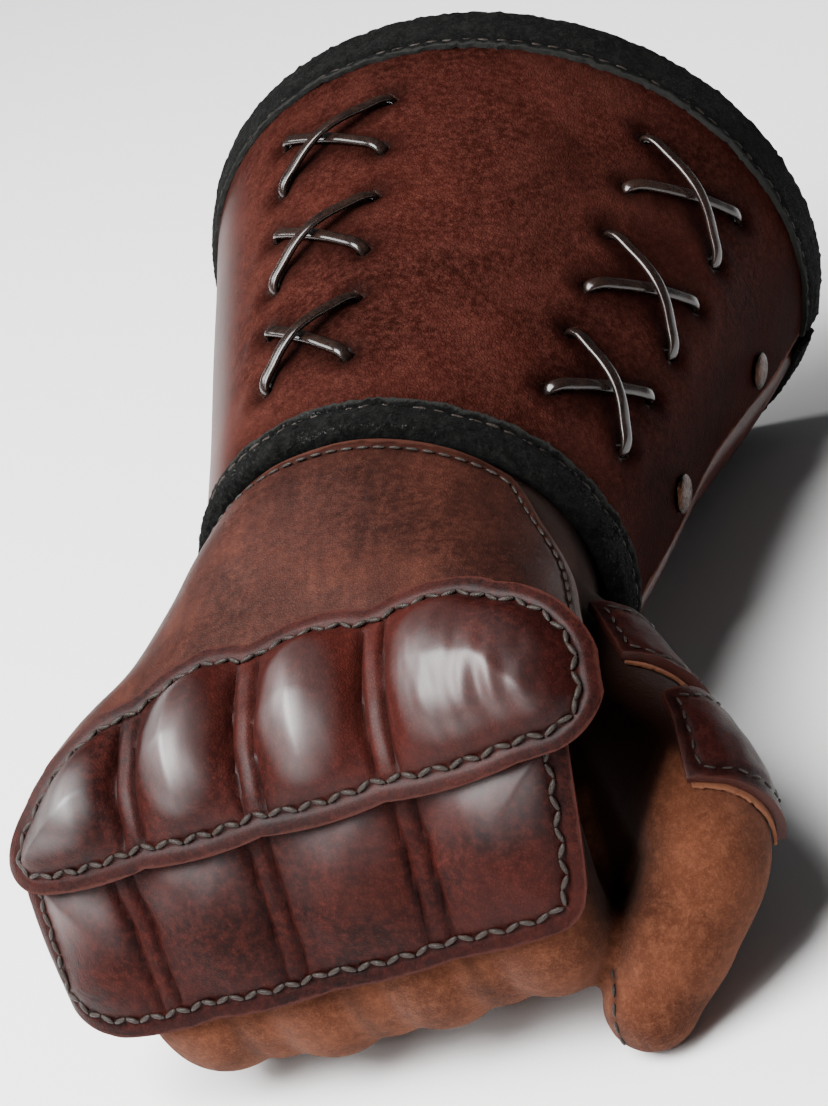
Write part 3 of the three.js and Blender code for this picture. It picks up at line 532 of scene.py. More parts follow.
def binding_place(edge_y, sign, outer_leg, inner_leg, fold, stitch):
    top = PIECE_GAP + BINDING_STAND
    under = -CUFF_WALL - top

    def place(u, v):
        deg = blended(*OPEN_RUN, u)
        tuft = wobble(deg * 3.4, v * 46, sign * 9)
        narrow = 1 - 0.22 * bell(deg + 75, 30) if sign < 0 else 1
        leg = (outer_leg * narrow + 0.5 * wobble(deg * 0.25, sign * 3, 0)
               + 0.7 * wobble(deg * 1.7, sign * 5, 0))
        if v < FOLD_START:
            share = v / FOLD_START
            along, height, edge = -leg * (1 - share), top, leg * share
        elif v < FOLD_END:
            a = (v - FOLD_START) / (FOLD_END - FOLD_START) * math.pi
            middle, half = (top + under) / 2, (top - under) / 2
            along, height, edge = fold * math.sin(a), middle + half * math.cos(a), 20
        else:
            share = (v - FOLD_END) / (1 - FOLD_END)
            along, height, edge = -inner_leg * share, under, inner_leg * (1 - share)
        seam = 0
        if v < FOLD_END:
            height += 0.25 * bell(along + outer_leg * 0.35, outer_leg * 0.3)
            height += 0.3 * wobble(deg * 0.18, along * 0.3, 7)
            seam = bell(along + leg - stitch, 0.7)
            height += 0.42 * tuft - 0.5 * seam
            along += 0.35 * tuft
        return cuff_point(deg, edge_y + sign * along, height), (edge, 0.6 * seam, 0)

    return place


rim_place = binding_place(CUFF_LENGTH, sign=1, outer_leg=RIM_LEG, inner_leg=9, fold=0.9,
                          stitch=RIM_STITCH)
wrist_place = binding_place(0, sign=-1, outer_leg=WRIST_LEG, inner_leg=6, fold=1.6,
                            stitch=WRIST_STITCH)


def stitch_row(name, path, length, width, slant, material, sink=0.1):
    """One waxed stitch, copied along a path of points and surface normals in millimetres."""
    bpy.ops.object.select_all(action='DESELECT')
    bpy.ops.mesh.primitive_uv_sphere_add(segments=8, ring_count=5, radius=0.5)
    model = bpy.context.object
    model.data.transform(Matrix.Rotation(math.pi / 2, 4, 'Y'))
    row = []
    for i in range(len(path) - 1):
        (here, out), (there, _) = path[i], path[i + 1]
        ahead = (there - here).normalized()
        up = (out - ahead * out.dot(ahead)).normalized()
        side = up.cross(ahead)
        lean = slant * (1 if i % 2 else -1)
        s, c = math.sin(lean), math.cos(lean)
        ahead, side = ahead * c + side * s, side * c - ahead * s
        centre = (here + there) / 2 + up * (width * 0.5 - sink)
        stitch = model.copy()
        stitch.data = model.data.copy()
        bpy.context.scene.collection.objects.link(stitch)
        stitch.data.transform(placed_matrix(ahead * length, side * width, up * width, centre))
        row.append(stitch)
    bpy.data.objects.remove(model)
    for stitch in row:
        stitch.select_set(True)
    bpy.context.view_layer.objects.active = row[0]
    bpy.ops.object.join()
    thread = bpy.context.object
    thread.name = thread.data.name = name
    bpy.ops.object.shade_smooth()
    thread.data.materials.append(material)
    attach(thread, "root")


def lengths_along(points):
    reach = [0]
    for a, b in zip(points, points[1:]):
        reach.append(reach[-1] + (b - a).length)
    return reach


def evenly(surface, path, pitch, facing=1):
    """Points and normals at even steps along a path of surface coordinates."""
    shares = [k / 8 for k in range(8)]
    fine = [(blended(u0, u1, share), blended(v0, v1, share))
            for (u0, v0), (u1, v1) in zip(path, path[1:]) for share in shares]
    fine.append(path[-1])
    reach = lengths_along([surface(u, v) for u, v in fine])
    count = max(int(reach[-1] / pitch), 2)
    found, i = [], 0
    for k in range(count + 1):
        want = reach[-1] * k / count
        while i < len(reach) - 2 and reach[i + 1] < want:
            i += 1
        share = (want - reach[i]) / max(reach[i + 1] - reach[i], 1e-9)
        u, v = (blended(p, q, share) for p, q in zip(fine[i], fine[i + 1]))
        here = surface(u, v)
        across = surface(u + 1e-3, v) - surface(u - 1e-3, v)
        along = surface(u, v + 1e-3) - surface(u, v - 1e-3)
        found.append((here, across.cross(along).normalized() * facing))
    return found


waxed_thread = leather(
    "waxed_thread", (0.0015, 0.001, 0.0009, 1), (0.006, 0.0036, 0.003, 1), (0.028, 0.019, 0.015, 1),
    (0.03, 0.022, 0.018, 1), gloss=(0.35, 0.5), pebble=2600, relief=0.00014, coat=0.08, cloud=300,
    shine=0.15)

# The rim's blank is turned round, so that both have their faces outwards.
for name, node, place, outer_leg, stitch, turned in (
        ("rim_binding", "cuff_rim_binding", rim_place, RIM_LEG, RIM_STITCH, True),
        ("wrist_binding", "cuff_wrist_binding", wrist_place, WRIST_LEG, WRIST_STITCH, False)):
    piece = leather_sheet(name, 420, 34, lambda u, v: place(1 - u if turned else u, v),
                          BINDING_WALL, 0.3)
    piece.data.materials.append(black_suede)
    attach(piece, "root")
    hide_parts(node)
    line = [(0.004 + 0.992 * k / 60, FOLD_START * stitch / outer_leg) for k in range(61)]
    path = evenly(lambda u, v: place(u, v)[0], line, pitch=4.4, facing=1 if turned else -1)
    stitch_row(name + "_stitches", path, length=3.2, width=0.8, slant=0, material=waxed_thread,
               sink=0.25)

# Rivets: two small domed copper rivets that hold the flap down on the tongue, each set over a
# burr inside. Their heads have gone dark brown.
rivet_metal, tree, shader = new_material("rivet_metal")
dye = used(tree, mottle, {"Cloud Scale": 420})
tarnish = tinted(tree, dye.outputs["Cloud"], (0.006, 0.0035, 0.0025, 1), (0.045, 0.018, 0.009, 1))
tree.links.new(tarnish, shader.inputs["Base Color"])
rough = ranged(tree, dye.outputs["Speckle"], 0.0, 1.0, 0.25, 0.5)
tree.links.new(rough, shader.inputs["Roughness"])
shader.inputs["Metallic"].default_value = 1
skin = used(tree, grain, {"Pebble Scale": 1600, "Wrinkle Scale": 500})
embossed(tree, shader, skin.outputs["Height"], 0.0001, 0.6)

RIVETS = {"rivet_wrist": (78, 0.272), "rivet_rim": (81, 0.673)}
# Height over the flap and radius, from the burr's end to the top of the head.
RIVET_PROFILE = [(-8.2, 0), (-8.2, 2.2), (-7.9, 2.9), (-7.1, 3.1), (-6.95, 1.3), (0.45, 1.3),
                 (0.5, 4.1), (0.6, 4.4), (0.85, 4.35), (1.2, 3.9), (1.5, 3.2), (1.7, 2.2),
                 (1.8, 1.1), (1.82, 0)]
for node, (deg, share) in RIVETS.items():
    centre = cuff_point(deg, share * CUFF_LENGTH, 0)
    out = (cuff_point(deg, share * CUFF_LENGTH, 1) - centre).normalized()
    side = (Vector((0, 1, 0)) - out * out.y).normalized()
    up = out.cross(side)

    def rivet_place(u, v):
        place = v * (len(RIVET_PROFILE) - 1)
        i = min(int(place), len(RIVET_PROFILE) - 2)
        (h0, r0), (h1, r1) = RIVET_PROFILE[i], RIVET_PROFILE[i + 1]
        height, radius = blended(h0, h1, place - i), blended(r0, r1, place - i)
        a = u * math.tau
        return centre + out * height + (side * math.cos(a) + up * math.sin(a)) * radius, (20, 0, 0)

    head = rolled(node + "_head", 32, 26, rivet_place)
    bpy.ops.object.shade_smooth_by_angle(angle=math.radians(40))
    head.data.materials.append(rivet_metal)
    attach(head, "root")
    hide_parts(node)

# Glove: a sewn glove of soft brown suede, its hand closed in a fist. The fingers are curled into
# the palm and the thumb lies along the fist; its sleeve runs up inside the cuff.
LITTLE_FINGER_X = -47
FINGER_PITCH = 26
GLOVE_WALL = 1.8
SLEEVE_END = 35.2
FIST_END = -63
FIST_LEFT = LITTLE_FINGER_X - FINGER_PITCH / 2
# A curled finger's joints: y, z and radius; then each finger's size, lift and lean inwards.
FINGER_JOINTS = [(-52, 8, 11.5), (-68.5, 7.2, 14.1), (-77, -12, 13.3), (-82.5, -31.5, 13.0),
                 (-72, -38, 12.2), (-59, -41, 11.9), (-53, -32, 11.0), (-50, -25, 10.0)]
FINGERS = [(0.98, 0, 6), (1.02, -2.4, 3), (1.02, -2.0, 1), (1.0, -1, -1)]
# The hand's sections: y, middle, half width, back, palm, squareness and roll.
HAND_SECTIONS = [
    (36, 0, 42.0, 37.8, 31.4, 2.0, 30), (14, 0, 41.2, 37.0, 29.8, 2.0, 30),
    (0, 0.4, 40, 36.4, 28.6, 2.0, 30), (-9, 0.3, 41.6, 37.4, 28, 2.1, 22),
    (-24, 0.1, 44.5, 34.4, 24, 2.3, 8), (-40, -2.5, 49.5, 30.4, 18, 2.6, 0),
    (-54, -6.4, 54, 26.4, 12, 3.3, 0), (-63, -8, 55.2, 23.6, 4, 4.4, 0)]
THUMB_JOINTS = [(16, -12, -9, 17), (32.5, -24, -12.5, 16.6), (47, -43.5, -16, 13.4),
                (57, -58, -23, 12.8), (61.5, -70, -33, 12.6), (52.5, -80, -43.5, 11.6),
                (44, -87.5, -52.1, 9.4)]
WEB_JOINTS = [(30, -44, -10, 10), (37, -52, -18, 10), (43, -60, -27, 9), (46, -68, -36, 7)]
FINGER_SIDE = Vector((1, 0, 0))
THUMB_SIDE = Vector((0.55, -0.5, 0.66)).normalized()


def table_value(rows, column, at):
    order = 1 if rows[0][0] < rows[-1][0] else -1
    i = 0
    while i < len(rows) - 2 and (rows[i + 1][0] - at) * order < 0:
        i += 1
    span = rows[i + 1][0] - rows[i][0]
    t = within((at - rows[i][0]) / span)

    def slope(j):
        a, b = rows[max(j - 1, 0)], rows[min(j + 1, len(rows) - 1)]
        return (b[column] - a[column]) / (b[0] - a[0]) * span

    return ((2 * t ** 3 - 3 * t ** 2 + 1) * rows[i][column] + (t ** 3 - 2 * t ** 2 + t) * slope(i)
            + (3 * t ** 2 - 2 * t ** 3) * rows[i + 1][column] + (t ** 3 - t ** 2) * slope(i + 1))


def hand_point(angle, y, height):
    middle, half, top, palm, power, roll = (table_value(HAND_SECTIONS, k, y) for k in range(1, 7))

    def at(a):
        s, c = math.sin(a), math.cos(a)
        return Vector((half * signed_power(s, 2 / power),
                       (top if c >= 0 else palm) * signed_power(c, 2 / power)))

    here, along = at(angle), (at(angle + 0.02) - at(angle - 0.02)).normalized()
    x, z = here.x - along.y * height, here.y + along.x * height
    turn = math.radians(roll)
    return Vector((middle + x * math.cos(turn) + z * math.sin(turn), y,
                   -x * math.sin(turn) + z * math.cos(turn)))


def radius_at(joints, t):
    place = t * (len(joints) - 1)
    i = min(int(place), len(joints) - 2)
    return blended(joints[i][3], joints[i + 1][3], eased(place - i))


def tube_place(joints, side):
    """A tube through joints, closed by a dome at each end."""
    centres = [Vector(joint[:3]) for joint in joints]

    def place(u, v):
        t = within((v - 0.08) / 0.8)
        dome = (v - 0.88) / 0.12 if v > 0.88 else (v - 0.08) / 0.08 if v < 0.08 else 0
        dome *= math.radians(86)
        radius = radius_at(joints, t)
        ahead = through(centres, min(t + 1e-3, 1)) - through(centres, max(t - 1e-3, 0))
        ahead.normalize()
        across = (side - ahead * side.dot(ahead)).normalized()
        up = ahead.cross(across)
        a = u * math.tau
        return (through(centres, t) + ahead * radius * math.sin(dome)
                + (across * math.cos(a) + up * math.sin(a)) * radius * math.cos(dome)), (20, 0, 0)

    return place


def finger_joints(index):
    size, lift, inward = FINGERS[index]
    return [(LITTLE_FINGER_X + FINGER_PITCH * index + inward * eased((i - 1) / 2.5), y,
             z + lift * max(1 - abs(i - 3) / 2, 0), radius * size)
            for i, (y, z, radius) in enumerate(FINGER_JOINTS)]


forms = [rolled("suede_glove", 90, 60, lambda u, v: (
    hand_point(u * math.tau, blended(36, FIST_END, v), 0), (20, 0, 0)))]
for index in range(4):
    forms.append(rolled("finger", 40, 90, tube_place(finger_joints(index), FINGER_SIDE)))
for index in range(3):
    # The suede is stretched flat from finger to finger under the fist.
    between = [tuple((p + q) / 2 * (0.9 if k == 3 else 1) for k, (p, q) in enumerate(zip(a, b)))
               for a, b in zip(finger_joints(index), finger_joints(index + 1))]
    forms.append(rolled("finger", 30, 60, tube_place(between[2:7], FINGER_SIDE)))
forms.append(rolled("thumb", 40, 90, tube_place(THUMB_JOINTS, THUMB_SIDE)))
forms.append(rolled("web", 30, 40, tube_place(WEB_JOINTS, THUMB_SIDE)))
bpy.ops.object.select_all(action='DESELECT')
for form in forms:
    form.select_set(True)
glove = forms[0]
bpy.context.view_layer.objects.active = glove
bpy.ops.object.join()
finish_with(glove, 'REMESH', mode='VOXEL', voxel_size=0.00128)
finish_with(glove, 'SMOOTH', factor=0.5, iterations=8)

# The sleeve's end is cut open, and the suede gets its thickness inwards.
out_of_lying = lying.inverted()
bpy.ops.object.mode_set(mode='EDIT')
bpy.ops.mesh.select_all(action='SELECT')
bpy.ops.mesh.bisect(plane_co=laid((0, SLEEVE_END, 0)),
                    plane_no=lying.to_3x3() @ Vector((0, 1, 0)), clear_outer=True)
bpy.ops.object.mode_set(mode='OBJECT')
# The floor flattens the suede where the little finger and the thumb lie on it.
for corner in glove.data.vertices:
    corner.co.z = max(corner.co.z, FLOOR_GAP)
finish_with(glove, 'SOLIDIFY', thickness=GLOVE_WALL * 0.001, offset=-1)
marks = glove.data.color_attributes.new("marks", 'FLOAT_COLOR', 'POINT')
# The plane that bounds the painted shade on the thumb's inner side: near black inside it, brown
# outside.
THUMB_SHADE_EDGE = Vector((0.7833, -0.0939, -0.6145))
THUMB_SHADE_EDGE_PLACE = 63.3
thumb_face = tube_place(THUMB_JOINTS, THUMB_SIDE)
SEAM_RUN = [(0.215, 0.8), (0.211, 0.83), (0.144, 0.88), (0.106, 0.945), (0.09, 0.98)]
THUMB_SEAM = [thumb_face(u, v)[0] for u, v in SEAM_RUN]
FINGERTIP_CREASES = [
    [Vector((-39, -95, -25)), Vector((-34, -90, -39))],
    [Vector((-10.8, -93.6, -29)), Vector((-10, -92.5, -36)), Vector((-9, -88, -41))]]


def to_line(points, here):
    """Distance from a place to a line through points."""
    near = 99
    for a, b in zip(points, points[1:]):
        t = within((here - a).dot(b - a) / (b - a).length_squared)
        near = min(near, (a + (b - a) * t - here).length)
    return near


for corner, colour in zip(glove.data.vertices, marks.data):
    here = out_of_lying @ (corner.co * 1000)
    finger = (here.x - FIST_LEFT) / FINGER_PITCH
    valley = abs(finger - round(finger)) * FINGER_PITCH if 0.5 < finger < 3.5 else 20
    # Painted shade: the suede is darker in the creases between the curled fingers.
    deep = 0.45 * bell(valley, 1.6) * eased((-58 - here.y) / 10)
    # Painted shade: the grip, the web and the inner side of the thumb are painted near black for
    # the shade in the hollow of the fist.
    grip_shade = eased((here.x - 14) / 12) * eased((here.y + 66) / 4) * eased((12 - here.z) / 12)
    inner = eased((THUMB_SHADE_EDGE_PLACE - here.dot(THUMB_SHADE_EDGE)) / 1.8) * eased((here.x - 41) / 3)
    wrist = 0.8 * eased((here.x - 12) / 14) * eased((here.y + 26) / 12)
    sewn = 0.8 * bell(to_line(THUMB_SEAM, here), 0.9)
    # The creases of the fingertips are rubbed pale, as the sleeve's end is.
    crease = min(to_line(line, here) for line in FINGERTIP_CREASES)
    edge = min(max(SLEEVE_END - here.y, 0), 0.6 + crease)
    colour.color = (edge, max(deep, grip_shade, inner, wrist, sewn), 0, 1)
bpy.ops.object.shade_smooth()
brown_suede = suede("brown_suede", (0.042, 0.0125, 0.0065, 1), (0.09, 0.029, 0.0145, 1),
                    (0.22, 0.088, 0.046, 1), sheen=0.05, relief=0.0005)
glove.data.materials.clear()
glove.data.materials.append(brown_suede)
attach(glove, "root")
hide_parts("glove")
seam_path = evenly(lambda u, v: thumb_face(u, v)[0], SEAM_RUN, pitch=3.6)
seam_path = [(point, out if out.x < 0 or out.y < 0 else -out) for point, out in seam_path]
stitch_row("thumb_seam_stitches", seam_path, length=2.6, width=0.8, slant=0,
           material=waxed_thread, sink=0.25)

# Hand plate: one piece of thinner waxed cowhide over the back of the hand, from the wrist
# binding down under the knuckle plate, with a stitched hem round its open sides.
PLATE_WALL = 2.2
PLATE_LIFT = 3 * PIECE_GAP
HAND_PLATE_GIRTH = 118
HAND_PLATE_LENGTH = 60
HAND_PLATE_HEM = 4
# Shares of its length, and the sines of how far round the hand its two sides come there.
HAND_PLATE_EDGES = [(0, -0.98, 0.5), (0.16, -0.995, 0.7), (0.4, -0.999, 0.925),
                    (0.66, -0.9995, 0.99), (1, -0.9999, 0.999)]


def hand_plate_face(u, v, height=PLATE_WALL):
    y = blended(-2.4, -62, v)
    left = math.asin(table_value(HAND_PLATE_EDGES, 1, v))
    right = math.asin(table_value(HAND_PLATE_EDGES, 2, v))
    bend = 3.5 * (1 - v) * (2 * u - 1) ** 4
    return hand_point(blended(left, right, u), y - bend, PLATE_LIFT + height)


def hand_plate_place(u, v):
    edge = min(u * HAND_PLATE_GIRTH, (1 - u) * HAND_PLATE_GIRTH, v * HAND_PLATE_LENGTH)
    seam = bell(edge - HAND_PLATE_HEM, 0.8)
    spot = hand_plate_face(u, v)
    height = PLATE_WALL - 0.45 * seam + 0.35 * noise.noise(spot / 14) + 0.07 * noise.noise(spot / 4)
    if edge < HAND_PLATE_HEM:
        height += 0.2
    return hand_plate_face(u, v, height), (edge, 0.5 * seam + 0.35 * math.exp(-edge / 3), 0)


hand_plate = leather_sheet("hand_cover", 170, 84, lambda u, v: hand_plate_place(1 - u, v), 2.0)
hand_plate.data.materials.append(leather(
    "hand_leather", (0.012, 0.0042, 0.0034, 1), (0.045, 0.013, 0.0088, 1), (0.088, 0.028, 0.018, 1),
    (0.07, 0.026, 0.018, 1), gloss=(0.38, 0.52), pebble=1700, relief=0.0001, coat=0.12,
    coat_rough=0.34, streaks=0.6, cloud=26, ior=1.14))
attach(hand_plate, "root")
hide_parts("hand_plate")
side_in, top_in = HAND_PLATE_HEM / HAND_PLATE_GIRTH, HAND_PLATE_HEM / HAND_PLATE_LENGTH
hem = [(side_in, 0.95), (side_in, 0.5), (side_in, top_in), (0.25, top_in), (0.5, top_in),
       (0.75, top_in), (1 - side_in, top_in), (1 - side_in, 0.5), (1 - side_in, 0.95)]
path = evenly(hand_plate_face, hem, pitch=3.4, facing=-1)
stitch_row("hand_cover_stitches", path, length=2.7, width=0.75, slant=0, material=waxed_thread,
           sink=0.3)

# Knuckle and finger plates: thick cowhide, wetted and pressed over a form into four humps with
# double creases between them, dyed oxblood and polished. The finger plate hangs below the
# knuckle plate over the curled fingers, and waxed thread whips their flanges to the glove.
PLATE_FLANGE = 4.4
PLATE_SHOULDER = 13
KNUCKLE_ENDS = (-67, 62)
FINGER_UPPER_ENDS = (-65.5, 54)
FINGER_LOWER_ENDS = (-70.5, 46)
FIST_MIDDLE = -4
FIST_HALF_WIDTH = 66
FIST_SIDE_DROP = 16
# Each plate's run over the fist, as y and z, and its creases' x at its upper and lower edge.
KNUCKLE_PROFILE = [(-48, 32.2), (-56, 30), (-65, 27.4), (-74, 24), (-82.5, 18.6), (-88.6, 10.5),
                   (-92, 1.5)]
FINGER_PROFILE = [(-81.4, 17), (-85.7, 9), (-90.5, -6), (-94.2, -19), (-97, -31)]
KNUCKLE_VALLEYS = [(-34, -35), (-8, -8), (19, 20)]
FINGER_VALLEYS = [(-41, -43), (-10, -15), (21, 16)]


def profile_curve(rows, steps=240):
    """A curve through rows: gives a point on it and its outward side at a distance along it."""
    rows = [Vector(row) for row in rows]

    def at(t):
        place = t * (len(rows) - 1)
        i = min(int(place), len(rows) - 2)
        w = place - i
        a, b, c, d = (rows[min(max(i + k, 0), len(rows) - 1)] for k in (-1, 0, 1, 2))
        m, n = (c - a) / 2, (d - b) / 2
        return (b * 2 - c * 2 + m + n) * w ** 3 + (c * 3 - b * 3 - m * 2 - n) * w ** 2 + m * w + b

    points = [at(k / steps) for k in range(steps + 1)]
    reach = lengths_along(points)

    def place(distance):
        want = min(max(distance, 0), reach[-1])
        i = min(int(np.searchsorted(reach, want, side='right')) - 1, steps - 1)
        share = (want - reach[i]) / (reach[i + 1] - reach[i])
        before, after = points[max(i - 2, 0)], points[min(i + 3, steps)]
        ahead = (after - before).normalized()
        point = points[i].lerp(points[i + 1], share) + ahead * (distance - want)
        return point, Vector((ahead.y, -ahead.x))

    return place


def on_fist(profile, x, distance, lift):
    share = min(abs((x - FIST_MIDDLE) / FIST_HALF_WIDTH), 1) * (0.96 if x > 0 else 1)
    drop = FIST_SIDE_DROP * (1 - (1 - share ** 3) ** (1 / 3))
    point, out = profile(distance)
    point = point + out * (lift - drop)
    return Vector((x, point.x, point.y))


def corner_fall(x, end, reach, fall):
    """How far a rounded corner takes an edge inwards at x."""
    into = within(1 - (abs(end - x) + PIECE_GAP) / reach)
    return fall * (1 - math.sqrt(1 - into * into))


def hump(x):
    finger = (x - FIST_LEFT) / FINGER_PITCH
    return abs(math.sin(math.pi * finger)) ** 0.75 if 0 < finger < 4 else 0


def outline_of(plan):
    """The plate's outline laid flat: its upper edge, right side, lower edge and left side."""
    ups = [0.5 - 0.5 * math.cos(math.pi * k / 90) for k in range(91)]
    sides = [k / 12 for k in range(1, 12)]
    return ([plan(u, 0) for u in ups] + [plan(1, v) for v in sides]
            + [plan(u, 1) for u in reversed(ups)] + [plan(0, v) for v in reversed(sides)])


def distance_in(outline):
    a = np.array(outline)
    b = np.roll(a, -1, 0)
    along = b - a
    size = np.maximum((along ** 2).sum(1), 1e-9)

    def distance(x, y):
        p = np.array((x, y))
        t = np.clip(((p - a) * along).sum(1) / size, 0, 1)
        return float(np.sqrt((((a + along * t[:, None]) - p) ** 2).sum(1).min()))

    return distance


def knuckle_plan(u, v):
    left, right = KNUCKLE_ENDS
    x = blended(left, right, u)
    into = within((-17 - x) / 50)
    upper = (10 - 3 * hump(x) + corner_fall(x, right, 24, 23) + corner_fall(x, left, 50, 24)
             + 9 * into)
    lower = 49 + hump(x) - corner_fall(x, right, 12, 12) - corner_fall(x, left, 9, 9)
    return x, blended(upper, lower, v)


def finger_plan(u, v):
    (upper_left, upper_right), (left, right) = FINGER_UPPER_ENDS, FINGER_LOWER_ENDS
    x = blended(blended(upper_left, left, v), blended(upper_right, right, v), u)
    lower = 43.5 + 0.8 * hump(x) - corner_fall(x, right, 7, 7) - corner_fall(x, left, 15, 14)
    return x, blended(5, lower, v)


knuckle_profile = profile_curve(KNUCKLE_PROFILE)
finger_profile = profile_curve(FINGER_PROFILE)
knuckle_outline = outline_of(knuckle_plan)
finger_outline = outline_of(finger_plan)
knuckle_edge = distance_in(knuckle_outline)
finger_edge = distance_in(finger_outline)


def pressed_form(x, distance, edge, valleys, tall, deep):
    """Height and crease depth of leather pressed into humps inside a flat flange."""
    valley = min(abs(x - blended(top, low, distance / 45) + 0.7 * wobble(distance / 9, top, 0))
                 for top, low in valleys)
    inside = within((edge - PLATE_FLANGE) / deep)
    across = within((valley - 2.4) / PLATE_SHOULDER)
    height = tall * (1 - (1 - inside) ** 2) ** 0.9 * (1 - (1 - across) ** 2)
    crease = bell(valley - 2.3, 0.62) * eased((edge - PLATE_FLANGE + 1.5) / 3)
    ridge = 0.25 * eased((2.0 - valley) / 1.6) * eased((edge - PLATE_FLANGE) / 4)
    seam = bell(edge - PLATE_FLANGE + 0.9, 0.75)
    return height + ridge - 0.75 * crease - 0.5 * seam, crease


def knuckle_place(u, v):
    x, distance = knuckle_plan(u, v)
    edge = knuckle_edge(x, distance)
    height, crease = pressed_form(x, distance, edge, KNUCKLE_VALLEYS, tall=8.4, deep=18)
    fold = wobble(x / 2.6, distance / 7, 3)
    worn = eased((x - 16) / 14) * bell(distance - 34, 9)
    height += 0.3 * wobble(x / 8, distance / 8, 0) * eased(edge / 6)
    height += (0.1 + 0.5 * worn) * fold * eased((edge - 4) / 6)
    point = on_fist(knuckle_profile, x, distance, PLATE_WALL + height)
    polish = 0.1 + (0.9 - 0.3 * eased((x - 16) / 6)) * eased((height - 2.4) / 3.4)
    return point, (edge, 0.3 * math.exp(-(edge / 5) ** 4), 0.55 * crease, polish)


def finger_place(u, v):
    x, distance = finger_plan(u, v)
    edge = finger_edge(x, distance)
    height, crease = pressed_form(x, distance, edge, FINGER_VALLEYS, tall=3.2, deep=15)
    fold = wobble(x / 3.2, distance / 6, 12)
    height += 0.35 * wobble(x / 8, distance / 8, 9 / 8) * eased(edge / 6)
    height += 0.12 * fold * eased((edge - 4) / 6)
    point = on_fist(finger_profile, x, distance, PLATE_WALL + height)
    outer = max(eased((x - 27) / 8), eased((-43 - x) / 6), 0.35)
    polish = 0.05 + 0.7 * outer * eased(height / 1.6) * bell(distance - 13, 8)
    return point, (edge, 0.3 * math.exp(-(edge / 5) ** 4), 0.55 * crease, polish)


def seam_inside(outline, face, inset, pitch):
    """Even points and normals along a line that runs inside the outline."""
    flat = np.array(outline)
    ahead = np.roll(flat, -1, 0) - np.roll(flat, 1, 0)
    ahead /= np.maximum(np.linalg.norm(ahead, axis=1)[:, None], 1e-9)
    line = flat + np.stack([-ahead[:, 1], ahead[:, 0]], 1) * inset
    distance = distance_in(outline)
    line = [p for p in line if distance(*p) > inset * 0.9]
    line.append(line[0])
    return evenly(face, [tuple(p) for p in line], pitch, facing=-1)


plate_leather = leather(
    "plate_leather", (0.005, 0.0012, 0.0011, 1), (0.023, 0.0038, 0.003, 1),
    (0.068, 0.013, 0.009, 1), (0.04, 0.012, 0.009, 1), gloss=(0.3, 0.42), pebble=1500,
    wrinkle_depth=0.9, relief=0.0001, coat=1.0, coat_rough=0.47, streaks=0.35, cloud=44,
    wear_width=0.6, ior=1.08)
plate_leather.node_tree.nodes["Principled BSDF"].inputs["Coat IOR"].default_value = 1.75
for name, node, columns, rows, place, profile, outline, inset in (
        ("knuckle_guard", "knuckle_plate", 210, 66,
         knuckle_place, knuckle_profile, knuckle_outline, 4.0),
        ("finger_guard", "finger_plate", 180, 60,
         finger_place, finger_profile, finger_outline, 3.9)):
    guard = leather_sheet(name, columns, rows, lambda u, v: place(1 - u, v), 2.0, 0.5)
    guard.data.materials.append(plate_leather)
    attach(guard, "root")
    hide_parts(node)
    path = seam_inside(outline, lambda x, y: on_fist(profile, x, y, PLATE_WALL - 0.1), inset,
                       pitch=3.1)
    stitch_row(name + "_stitches", path, length=3.3, width=1.1, slant=0.38,
               material=waxed_thread, sink=0.35)

# Thumb plates: two curved pieces of the same leather on the back of the thumb, the upper one over
# its ball and the lower one down its side, each stitched all round with waxed thread. A thin
# suede lining shows along their lower ends.
THUMB_BACK = Vector((0.8, -0.25, 0.55)).normalized()
thumb_centres = [Vector(joint[:3]) for joint in THUMB_JOINTS]


def thumb_point(t, deg, height):
    ahead = (through(thumb_centres, t + 1e-3) - through(thumb_centres, t - 1e-3)).normalized()
    back = (THUMB_BACK - ahead * THUMB_BACK.dot(ahead)).normalized()
    side = ahead.cross(back)
    a = math.radians(deg)
    away = radius_at(THUMB_JOINTS, t) + PLATE_LIFT + height
    return through(thumb_centres, t) + (back * math.cos(a) + side * math.sin(a)) * away


def upper_thumb_face(u, v, height=PLATE_WALL):
    low = blended(0.43, 0.34, u)
    return thumb_point(blended(0.24, low, v), blended(-58, blended(12, 15, v), u), height)


def lower_thumb_face(u, v, height=PLATE_WALL):
    return thumb_point(blended(0.437, blended(0.66, 0.58, u), v),
                       blended(-66, blended(11, 34, v), u), height)


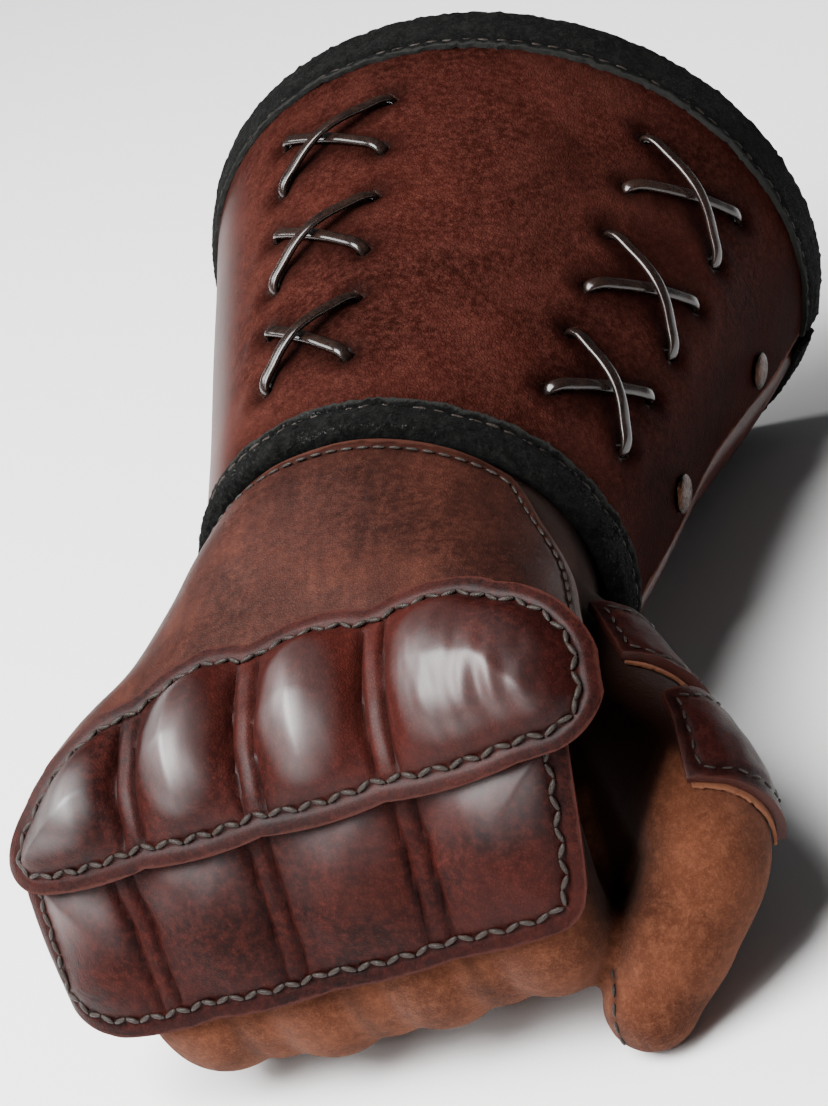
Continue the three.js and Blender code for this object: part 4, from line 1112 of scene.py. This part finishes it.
for name, node, face, wide, tall in (
        ("thumb_guard_upper", "thumb_plate_upper", upper_thumb_face, 24, 21),
        ("thumb_guard_lower", "thumb_plate_lower", lower_thumb_face, 27, 22)):
    def thumb_place(u, v):
        edge = min(u * wide, (1 - u) * wide, v * tall, (1 - v) * tall)
        crown = 0.4 * eased(edge / 8)
        uneven = 0.3 * noise.noise(face(u, v) / 5)
        height = PLATE_WALL + crown + uneven - 0.3 * bell(edge - 2.6, 0.7)
        return face(u, v, height), (edge, 0.6 * bell(edge - 2, 1.6), 0, 0.15)

    guard = leather_sheet(name, 56, 50, thumb_place, 2.0, 0.5)
    guard.data.materials.append(plate_leather)
    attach(guard, "root")
    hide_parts(node)

    def lining_place(u, v):
        ragged = 0.025 * wobble(u * 22, tall, 0)
        return face(0.04 + 0.93 * u, blended(0.86, 1.045 + ragged, v), 0.1 * v), (0.3, 0, 0)

    lining = leather_sheet(name + "_lining", 60, 6, lining_place, 0.8, 0.25)
    lining.data.materials.append(brown_suede)
    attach(lining, "root")
    rim = [(0.1, 0.1), (0.9, 0.1), (0.9, 0.9), (0.1, 0.9), (0.1, 0.1)]
    path = evenly(face, rim, pitch=3.4)
    stitch_row(name + "_stitches", path, length=2.3, width=0.6, slant=0.2,
               material=waxed_thread, sink=0.2)

# Floor and light: a plain pale studio floor, a large soft box high in front on the left, a small
# weak one low in front, one beside the little-finger side and a faint pale room all round.
bpy.ops.object.select_all(action='DESELECT')
bpy.ops.mesh.primitive_plane_add(size=8)
floor = bpy.context.object
floor.name = "studio_floor"
paper, tree, shader = new_material("studio_paper")
tooth = clouds(tree, here_on(tree), 900.0, 4.0)
grey = tinted(tree, tooth, (0.86, 0.86, 0.85, 1), (0.9, 0.9, 0.9, 1))
tree.links.new(grey, shader.inputs["Base Color"])
shader.inputs["Roughness"].default_value = 0.9
shader.inputs["Specular IOR Level"].default_value = 0.1
floor.data.materials.append(paper)

LIGHTS_AIM = Vector((0, -0.02, 0.05))
LIGHTS = [("key_box", (-0.38, -0.5, 1.02), (0.8, 0.8), 62),
          ("front_box", (-0.42, -1.0, 0.6), (0.3, 0.3), 4),
          ("left_box", (-1.0, 0.15, 0.75), (0.5, 0.5), 12)]
for name, place, (wide, long), power in LIGHTS:
    light = bpy.data.lights.new(name, 'AREA')
    light.shape = 'RECTANGLE'
    light.size, light.size_y, light.energy = wide, long, power
    box = bpy.data.objects.new(name, light)
    bpy.context.scene.collection.objects.link(box)
    box.location = place
    box.rotation_euler = (LIGHTS_AIM - Vector(place)).to_track_quat('-Z', 'Y').to_euler()
world = bpy.data.worlds.new("studio")
world.use_nodes = True
world.node_tree.nodes["Background"].inputs["Color"].default_value = (0.95, 0.97, 1, 1)
world.node_tree.nodes["Background"].inputs["Strength"].default_value = 0.08
bpy.context.scene.world = world
